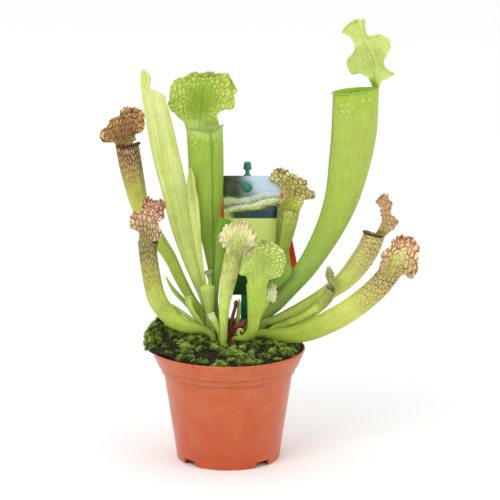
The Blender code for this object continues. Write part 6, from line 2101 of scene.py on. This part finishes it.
class Plant:
    """All leaves of the clump, from the tall ones at the back to the shoots in front."""

    @staticmethod
    def leaf(name: str, stations: tuple, **sizes: object) -> Leaf:
        """One leaf with the finish of its name."""
        return Leaf(name, LEAF_FINISHES[name], stations, **sizes)

    def tall(self) -> Iterator[Leaf | UnopenedLeaf]:
        """The two tall pitchers, the unopened one and the pale narrow leaf."""
        yield self.leaf(
            "pitcher_tall_right",
            ((22.5, 9, 91.5, 3.4), (24.5, 9, 100, 3.6), (29.5, 9.5, 111, 4.2), (38.1, 10, 120.7, 5.8),
             (49, 11, 134.5, 7.4), (60.5, 12, 148.5, 8.4), (72.7, 12, 168.5, 10), (82.2, 12, 188, 11.9),
             (89.2, 12, 208.3, 13.9), (94.3, 12, 234.6, 16.5), (97.5, 12, 259.8, 17.9),
             (98.4, 12, 289.3, 18)),
            facing=(-0.94, -0.34, 0), across_scale=0.82, deep_scale=1, wing=1.1, hollow=0.72, lip=1.3,
            slant=-2, side_slant=-1.5, neck_angle=24,
            hood=Hood(
                ((369.5, 79.5, 375, 79.5, 17.5, 381.5, 81.5), (366, 76.5, 376, 75, 18, 388, 78),
                 (358.5, 73.3, 376.3, 70, 20, 395.5, 74), (352, 74, 376.2, 65.5, 20, 392, 71.5),
                 (347.3, 67, 375, 60.5, 19.5, 386.5, 66.5), (347, 60, 373, 55.5, 19, 385, 60),
                 (352, 53, 370.5, 50.5, 18, 388.5, 53.5), (355.8, 47, 367.5, 46, 17, 391.8, 45),
                 (354.3, 41.5, 365.5, 41.5, 16.5, 388, 38), (350.5, 37, 364, 37.5, 16, 379, 35.5),
                 (345.5, 33.7, 362.8, 33, 15, 368.3, 38.3), (341.7, 32.5, 361.8, 28, 14.5, 365.7, 31),
                 (347, 25, 361, 23.5, 14, 365.2, 24.5), (354, 19.8, 360.5, 19.3, 13, 365.5, 19.6)),
                columns=72, turn=0.57, ruffle=1.3, waves=9, phase=1, frill=0.4, fray=0.35, crease=2.6,
                midrib_fold_shade=0.7,
            ),
        )
        yield self.leaf(
            "pitcher_tall_green",
            ((-8, 12, 91.5, 2.6), (-9, 12.2, 105, 2.6), (-11.5, 12.5, 135.1, 2.8),
             (-12.4, 12.5, 147.1, 3.4), (-13.5, 12.5, 158.3, 4.6), (-14.8, 12.5, 169.5, 6),
             (-15.6, 12.5, 186.3, 9.5), (-16.6, 12.5, 203, 12.6), (-17, 12.5, 222, 13.9),
             (-17.4, 12.5, 242.5, 14.3), (-18.2, 12.5, 260, 14.6)),
            facing=(0.42, -0.91, 0), deep_scale=0.8, wing=1, hollow=0.6, lip=1.4, slant=3.6, spout=5.4,
            neck_angle=80,
            hood=Hood(
                ((183, 121.5, 200, 121.5, 25, 218.3, 121), (177.5, 116.5, 200.3, 114.5, 25.5, 217, 116),
                 (170.5, 110, 201, 108, 26, 221, 110.3), (168, 104.5, 201.8, 101.5, 26, 231.5, 110),
                 (169, 97, 202.8, 95, 26, 235.5, 104), (170, 88.5, 204, 89, 26, 234, 96),
                 (174, 81, 205.5, 83.5, 26, 237, 89.5), (184.5, 76.5, 207, 79, 26, 231.5, 79),
                 (191.5, 72.5, 208.3, 75.3, 25.5, 225, 73.5), (203, 75.5, 209.5, 72, 25, 214.5, 75.5)),
                columns=72, near_left=(1.5, 2.5, 3.5, 4, 4, 4, 3.5, 3, 2, 0.5),
                near_right=(3, 3, 3.5, 4, 4, 4, 4, 3.5, 2, 0.5), ruffle=1.4, waves=24, phase=0.4, fray=0.5,
                midrib_fold_shade=0.9,
            ),
        )
        yield UnopenedLeaf(
            "pitcher_unopened", LEAF_FINISHES["pitcher_unopened"],
            ((206.5, 340.5, 213.5, 340.5, 8), (204.4, 320.5, 211.6, 320.5, 8),
             (199.2, 298.5, 208, 297.5, 7.5), (192.6, 283.5, 205.7, 281.5, 7), (180, 254, 198, 250, 6),
             (169.5, 223, 193, 219, 5), (161.8, 192, 187.3, 188.5, 4), (153.3, 160, 180.3, 157.5, 4),
             (145.6, 120, 171, 118, 4), (142.5, 100.3, 166, 101.2, 4), (141.4, 93, 165, 95.5, 4),
             (141.1, 90.5, 157, 91.3, 4), (140.9, 87, 150, 88, 4), (140.7, 82, 150.9, 82.5, 4),
             (140.6, 77.5, 151, 78, 4), (141.3, 73, 148.3, 73, 4), (142.4, 69, 143.2, 69, 4)),
        )
        yield self.leaf(
            "leaf_pale_narrow",
            ((-15.5, 1.5, 92, 1.4), (-16.5, 1, 120, 1.4), (-18.3, 0, 140.2, 1.4), (-20.6, -2, 153.5, 1.7),
             (-23.2, -4, 172.5, 2.7), (-25.1, -4.5, 190, 3.8), (-26.9, -4.5, 206.6, 4.3),
             (-28.1, -4.5, 216, 3.6), (-28.4, -4.5, 225.1, 2.8), (-28.7, -4.5, 231.7, 0.7)),
            deep_scale=0.4,
        )

    def red_netted(self) -> Iterator[Leaf]:
        """The pitchers with a brown or red net."""
        yield self.leaf(
            "pitcher_left_red",
            ((-19, 3, 92.5, 2.6), (-19.6, 3, 104, 2.8), (-21.5, 3.5, 115, 3.2), (-29.2, 4.5, 126.7, 3.8),
             (-37, 6, 141.2, 4.4), (-45.3, 8.5, 158.5, 5), (-57.6, 12, 176.7, 6.2), (-67.6, 14, 196.2, 7),
             (-71.2, 15, 210.2, 8), (-74.8, 16, 227.5, 9), (-77.9, 16, 245.5, 9.2)),
            facing=(0.7, -0.71, 0), deep_scale=0.95, wing=0.6, hollow=0.42, lip=1.8, slant=0.6,
            side_slant=0.6, neck_angle=64,
            hood=Hood(
                ((113.5, 141.5, 125, 141.5, 25.2, 135.8, 139.5),
                 (103, 142.5, 125, 137.5, 25.6, 135.3, 136.5), (100.3, 137, 125.2, 133, 25.8, 138.5, 132.3),
                 (102, 130.5, 125.6, 128.5, 25.8, 143.5, 129), (107.5, 125, 126.3, 124, 25.6, 144.7, 124),
                 (109.5, 119.8, 127, 119.5, 25.2, 144.3, 117.5),
                 (118, 117.5, 127.8, 115, 24.6, 143.8, 112.5), (120.3, 111, 128.4, 111, 24, 139.5, 109.3),
                 (125.5, 109.3, 129, 107.3, 23.2, 134.5, 108.7)),
                near_left=3, near_right=-2, ruffle=1.5, waves=20, frill=0.45, fray=0.5,
            ),
        )
        yield self.leaf(
            "pitcher_front_left",
            ((-11, -11, 92.5, 2.4), (-12.8, -11.4, 101, 2.5), (-20.2, -12.2, 105.6, 3.2),
             (-31.4, -15, 108.7, 5.2), (-41.3, -17, 114.3, 6.5), (-49.1, -19, 122.8, 7),
             (-54.7, -21, 133, 7.3), (-57.6, -22, 144.2, 7.1), (-59.6, -22, 156.2, 7),
             (-61.2, -22, 169.1, 7), (-61.2, -21.5, 177, 7.8)),
            facing=(0.1, 0.99, 0), wing=1, hollow=0.42, slant=1, neck_angle=66,
            hood=Hood(
                ((138.5, 238, 146, 240, -29, 150.5, 243), (137.5, 232.5, 147, 235.5, -29.5, 156, 241),
                 (129.5, 228, 148, 231, -29.5, 160, 236), (130, 223, 149, 226.5, -29, 160.8, 230),
                 (129.8, 217, 150, 222, -28, 158, 224.5), (133, 212, 150.8, 217.5, -27, 156.5, 222),
                 (141, 211.5, 151.5, 213, -25, 163.5, 218.5), (142, 206, 152.3, 208.5, -21, 164.5, 211.5),
                 (143, 199.8, 153.2, 204, -17, 166, 204.5), (149, 198, 154, 200, -14.5, 159, 200.3)),
                near_left=-3, near_right=(2, 4, 5, 4, 1, -1, -3, -3, -3, -1), ruffle=1.5, waves=19,
                phase=0.8, frill=0.55, fray=0.45,
            ),
        )
        yield self.leaf(
            "pitcher_right_dark_lip",
            ((23.5, 1, 92.5, 2.2), (24.5, 1.2, 101, 2.4), (28.5, 1.8, 107, 3), (36.5, 3, 109.2, 3.8),
             (50.9, 6.5, 114.9, 4.6), (66.7, 11.5, 122.5, 5.2), (79.2, 16, 129, 6.4), (92.3, 17, 139, 7.8),
             (102.8, 17.5, 151.9, 8.8), (109.7, 18, 163.3, 8.8), (114, 18, 174.5, 8.4)),
            facing=(-0.72, -0.62, 0.3), across_scale=0.97, deep_scale=1, wing=0.8, hollow=0.42, lip=1.5,
            slant=-0.4, side_slant=-1.2, neck_angle=42,
            hood=Hood(
                ((378, 229.5, 384, 229.5, 21, 391, 230.8), (381, 224, 386, 225, 21, 395.5, 227.5),
                 (382, 219, 387, 220, 21, 398, 221.5), (380, 214.5, 386.5, 215, 21, 396.3, 217),
                 (381, 209.5, 386, 210, 20.5, 391, 213), (379.5, 204.8, 385.5, 205.5, 20.5, 391.5, 207.5),
                 (375.8, 201, 385, 200.5, 20, 392, 203), (378.5, 197.5, 385, 197, 20, 388.3, 198),
                 (381.5, 194.8, 384.5, 194.3, 19.5, 387.3, 194.3)),
                turn=0.6, ruffle=1, waves=16, frill=0.6,
            ),
        )
        yield self.leaf(
            "pitcher_right_red_net",
            ((18.5, -8.5, 92, 2.6), (19.2, -8.8, 99, 2.8), (24.5, -9.5, 101.8, 3.4),
             (33.3, -10, 101.4, 4.4), (48, -11, 101, 6.6), (63.1, -12, 105, 8.4), (84.7, -13.5, 115.7, 9.2),
             (98.9, -14.5, 125.3, 9.1), (115.5, -15, 140, 9), (123.5, -15, 150, 8.6)),
            facing=(-0.2, 0.95, 0.2), wing=1.4, hollow=0.42, slant=1, neck_angle=66,
            hood=Hood(
                ((380.3, 267, 393.5, 267, -23.5, 403, 274.5), (379.8, 263, 396, 263.5, -24, 408, 277),
                 (381.8, 259, 398.3, 260, -24, 412, 278), (381.5, 253.5, 400.5, 256.5, -23.5, 419, 270.5),
                 (386, 249, 402.5, 252.5, -22, 418.5, 262), (391, 244.5, 404, 248.5, -20.5, 417.8, 254),
                 (391.5, 240, 405, 244.5, -17, 420.5, 248.5), (397, 236.5, 405.5, 240.5, -13, 415, 242.5),
                 (402, 235.5, 406, 236.5, -11, 409.5, 236)),
                near_left=-4, near_right=-4, ruffle=1.3, waves=20, fray=0.4,
            ),
        )
        yield self.leaf(
            "pitcher_back_olive",
            ((17, 16, 92.5, 2.2), (18.5, 17.5, 102, 2.3), (23.7, 20, 114.5, 2.7), (29.1, 22, 128.5, 3.4),
             (35.8, 23.5, 144.1, 4.5), (40.5, 25, 157.7, 5.6), (43.2, 25.5, 168.8, 6.8),
             (45.5, 26, 181.8, 8.4), (47, 26, 192.5, 9.1)),
            facing=(-0.52, -0.85, 0), wing=0.9, hollow=0.42, lip=1, slant=2, neck_angle=76,
            hood=Hood(
                ((279.3, 201, 291.3, 202, 34, 303.5, 203), (282.5, 195.5, 291, 197, 35, 305, 199.5),
                 (281.5, 189.5, 290.5, 191.5, 35.5, 313.8, 198.3), (276, 183.3, 289.8, 186.5, 36, 315, 191),
                 (270, 181.3, 289, 182.5, 36, 308, 187.5), (270, 176.5, 288, 178.5, 35.5, 307, 181.5),
                 (273.5, 170.5, 286.8, 175, 35, 301.5, 178), (277, 168.3, 285.8, 172, 34.5, 294.8, 179),
                 (282.3, 172, 285.3, 170.3, 34, 288.3, 172.5)),
                near_left=2, near_right=2, ruffle=1.5, waves=20, frill=0.55, fray=0.5,
            ),
        )

    def front(self) -> Iterator[Leaf]:
        """The smaller pitchers in front."""
        yield self.leaf(
            "pitcher_dying",
            ((28.5, -3.5, 92.5, 1.8), (29, -3.5, 98.5, 2), (33.5, -3.6, 103.5, 2.2), (46.2, -3.2, 108, 3),
             (57.8, -2, 112.5, 3.6), (67.5, -0.5, 118.2, 4.4), (76.1, 1, 126.8, 5.2), (80, 1, 134.5, 4.8)),
            facing=(-0.9, -0.3, 0), hollow=0.22, lip=0.5, slant=0.6, neck_angle=58, row_length=1.8,
            hood=Hood(
                ((327.5, 281, 331, 281, 3, 334, 282), (326.3, 276.5, 330, 276, 3, 336.3, 277),
                 (326, 271.5, 329, 271, 2.5, 333, 272), (327, 268, 328, 267.2, 2, 329, 268)),
                columns=28, turn=0.7, ruffle=1.1, waves=9,
            ),
        )
        yield self.leaf(
            "pitcher_front_cream",
            ((-3.5, -18.5, 92, 2.7), (-3.4, -19.5, 106, 3), (-2.8, -22, 126.9, 4.2),
             (-0.3, -23, 143.6, 5.8), (2.2, -24, 156.4, 6.7), (4.7, -24, 169, 7.1)),
            facing=(-0.1, 0.99, 0), wing=1, hollow=0.42, slant=1, neck_angle=68,
            hood=Hood(
                ((225.5, 247, 234.5, 250, -31.5, 243.5, 256), (221.5, 244.5, 235.5, 245, -32, 249.5, 254.5),
                 (219, 240, 236.5, 240.5, -31.5, 254.5, 248), (218.8, 235, 237.5, 236, -31, 256.3, 241),
                 (222, 230, 238.5, 231.5, -28.5, 256, 234), (227, 226, 239.8, 227, -24.5, 253.5, 228.5),
                 (233, 222.5, 241.3, 221.3, -19.5, 248, 223.3)),
                columns=72, near_left=-4, near_right=-4, ruffle=1.5, waves=30, phase=0.5, frill=1,
                fray=0.35,
            ),
        )
        yield self.leaf(
            "pitcher_front_green",
            ((4, -12.5, 92, 2.1), (4.6, -13.8, 98, 2.1), (7.5, -18, 100, 2.2), (13.1, -23, 101.8, 3),
             (18.6, -28.5, 109.5, 4), (20.5, -31, 122.5, 5.5), (22.2, -32, 134.2, 7.5),
             (22.2, -32, 145.5, 8)),
            facing=(-0.1, 0.99, 0), wing=0.8, hollow=0.4, slant=1, neck_angle=70,
            hood=Hood(
                ((246.5, 277.5, 257.5, 276, -40, 269.5, 280), (240, 273.5, 258, 271, -41, 275, 278),
                 (241.5, 267.5, 258.8, 266, -41, 282, 274), (245, 262, 259.8, 260.5, -40.8, 285, 267),
                 (251.5, 257, 260.8, 255, -40, 286, 259.5), (255.3, 249.5, 261.8, 250, -38, 284, 252.5),
                 (257, 243.5, 262.8, 245, -35, 279, 246), (260.5, 240.5, 264, 240.5, -32, 270.5, 241.5)),
                near_left=-4, near_right=-4, ruffle=0.8, waves=17, frill=0.3, fray=0.4,
            ),
        )
        yield self.leaf(
            "pitcher_frilled_small",
            ((14, -4.5, 92.5, 1.8), (15.5, -5.5, 100, 1.8), (20.5, -8.5, 109, 2), (24.7, -10, 118, 2.6),
             (27.5, -10.5, 125, 3.6), (28.5, -10.5, 130, 4.2)),
            facing=(-0.6, 0.8, 0), hollow=0.45, lip=0.5, slant=0.5, neck_angle=62, row_length=1.8,
            hood=Hood(
                ((264.5, 300, 268.5, 301, -14.5, 273.5, 302), (267, 296, 270.5, 296.5, -14.5, 277.3, 296.5),
                 (268.5, 291, 272, 291.5, -13.8, 276.5, 290),
                 (270.3, 286, 272.6, 284.5, -12.8, 275.3, 286)),
                columns=28, turn=-0.3, ruffle=1, waves=12, frill=0.6,
            ),
        )

    def young(self) -> Iterator[Leaf]:
        """Leaves and shoots without a hood."""
        yield self.leaf(
            "pitcher_young_green",
            ((-7, 3.5, 92, 1.8), (-8.5, 3.5, 108, 1.8), (-9.8, 3.2, 122.8, 1.9), (-9.4, 2.8, 134.6, 2.3),
             (-8.8, 2.2, 142.3, 2.6), (-7.3, 1.5, 153.2, 3.1), (-5.7, 1, 167.4, 3.7), (-5.1, 0.8, 176, 4.4),
             (-4, 0.5, 182.5, 5.6), (-2.2, 0, 188, 6), (-1.2, 0, 190.3, 5.6)),
            deep_scale=0.35, ending=Ending.CUT,
        )
        yield self.leaf(
            "pitcher_round_hood",
            ((13.5, 8, 92.5, 1.8), (15.5, 8.5, 103, 1.8), (21.5, 8, 112, 2), (27.5, 5.5, 124, 2.7),
             (33, 4, 134, 3.6), (40, 3, 142, 4.8), (43.5, 2.5, 148, 6), (45, 2.5, 152.5, 4.4),
             (45.2, 2.5, 155, 1)),
            deep_scale=0.7,
        )
        yield self.leaf(
            "bud_green",
            ((-11.4, -4.5, 92.5, 2), (-12.1, -5.3, 104, 2), (-13.5, -7, 115.6, 2.4), (-14.5, -8, 125, 3.6),
             (-15.3, -8, 133.5, 4.8), (-15.8, -8, 138, 5.6), (-15.9, -8, 139.8, 5),
             (-15.9, -8, 140.8, 1.2)),
            deep_scale=0.6,
        )
        yield self.leaf(
            "pitcher_tiny_left",
            ((-16.5, -4.5, 92.5, 1.5), (-17.5, -6, 103, 1.6), (-20.5, -8.5, 109, 1.9),
             (-26.3, -11, 117.7, 2.2), (-29.8, -12, 125.5, 2.4), (-30.2, -12, 128.5, 2.9),
             (-30.2, -12, 131, 2.6)),
            ending=Ending.ROUND_MOUTH,
        )
        yield self.leaf(
            "leaf_narrow_left",
            ((-22.5, 9.5, 92.5, 1.3), (-23.5, 9.5, 105, 1.4), (-27, 9.5, 114, 1.8),
             (-33.8, 11.5, 121.5, 1.9), (-42.5, 13.5, 130.5, 1.8), (-48.5, 14, 141, 0.6)),
            deep_scale=0.6,
        )
        yield self.leaf(
            "leaf_short_left",
            ((-21.5, -3, 92.5, 1.3), (-22.5, -4, 103, 1.4), (-27.5, -5.5, 111.2, 1.6),
             (-37.3, -6, 118.8, 1.7), (-44.8, -6, 124.8, 0.6)),
            deep_scale=0.6,
        )
        yield self.leaf(
            "pitcher_cut_short",
            ((-6, -12.5, 92, 1.5), (-6.4, -15, 101, 1.6), (-7.6, -17.5, 107, 1.9), (-9.8, -18, 113, 2.5),
             (-12.2, -18, 117.2, 3), (-13.1, -18, 120, 3)),
            ending=Ending.CUT,
        )
        yield self.leaf(
            "leaf_dried_tip",
            ((-11.4, 0.8, 92, 1.2), (-12, 1.2, 110, 1.3), (-13.3, 2.5, 125.3, 1.5), (-13.7, 2, 135.7, 1.6),
             (-14.1, 2, 142, 1.5), (-14.7, 1.5, 145.5, 2.2), (-15.2, 1, 147.8, 3)),
            ending=Ending.ROUND_MOUTH,
        )
        yield self.leaf(
            "shoot_red",
            ((1.5, -4, 92.5, 1.2), (2, -4.5, 103, 1.2), (3.6, -5, 114.5, 1.4), (5.6, -5, 121.5, 1.4),
             (6.3, -5.2, 125.3, 1.9), (6.4, -5.2, 127.2, 0.8)),
            deep_scale=0.9,
        )
        yield self.leaf(
            "shoot_green",
            ((6.2, -2, 92.5, 1.2), (6.8, -2, 106, 1.3), (8.3, -2.2, 117, 1.6), (8.8, -2.2, 123, 1.3),
             (8.6, -2.2, 127.5, 0.6)),
            deep_scale=0.8,
        )
        yield self.leaf(
            "bud_dark_red",
            ((4.2, -7, 92.5, 1.3), (3.2, -7.2, 101, 1.4), (4.6, -7.6, 105.2, 1.8), (8.2, -8, 107.4, 2.1),
             (11.6, -8, 109.8, 1.9), (14.2, -8, 112.4, 0.6)),
        )
        yield self.leaf(
            "shoot_pale_hooked",
            ((9.5, -12.5, 92.5, 1.2), (9, -12.5, 99, 1.2), (8, -12.5, 103.5, 1.2), (8.8, -12.8, 105.8, 1.2),
             (10.6, -13, 105.5, 1.2), (11.5, -13, 103.5, 0.7)),
            deep_scale=0.9,
        )

    def leaves(self) -> list[Leaf | UnopenedLeaf]:
        """Every leaf."""
        return [*self.tall(), *self.red_netted(), *self.front(), *self.young()]


def count_triangles(piece: Piece) -> int:
    """Triangles of a piece's mesh."""
    return sum(len(face.vertices) - 2 for face in piece.data.polygons)


def place_piece(piece: Piece, node: str, replaced: bool = True) -> None:
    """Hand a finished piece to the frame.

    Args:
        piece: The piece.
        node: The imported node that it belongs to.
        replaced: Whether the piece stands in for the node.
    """
    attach(piece, BODY)
    if replaced:
        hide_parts(node)
    LOG.info("%s: %d triangles", piece.name, count_triangles(piece))


def main() -> None:
    """Build the plant's looks in order."""
    logging.basicConfig(level=logging.INFO, format="%(name)s %(message)s")
    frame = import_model()
    low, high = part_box("pot")
    shift = Vector(((low.x + high.x) / 2, (low.y + high.y) / 2, 0.0))
    LOG.info("pot's axis at %.4f, %.4f", shift.x, shift.y)

    Studio().build(shift)
    place_piece(Pot().build(shift), "pot")
    place_piece(Label().build(shift), "label_card")
    place_piece(Stake().build(shift), "label_stake")
    mat, *growth = MossBed().build(frame["nodes"]["moss"], shift)
    place_piece(mat, "moss")
    for piece in growth:
        place_piece(piece, "moss", replaced=False)
    for leaf in Plant().leaves():
        place_piece(leaf.build(shift), leaf.name)
    earths = {
        "substrate": EarthFinish("peat", "#120C08", "#2B1C12", "#4A3424", grain=1.2),
        "rhizome": EarthFinish("rhizome_bark", "#2A170D", "#5A3520", "#8A5A36", grain=1.4, stretch=2.0),
    }
    for node, earth in earths.items():
        dress(frame["nodes"][node], earth.material())
        LOG.info("%s keeps its packed shape", node)


if __name__ == "__main__":
    main()
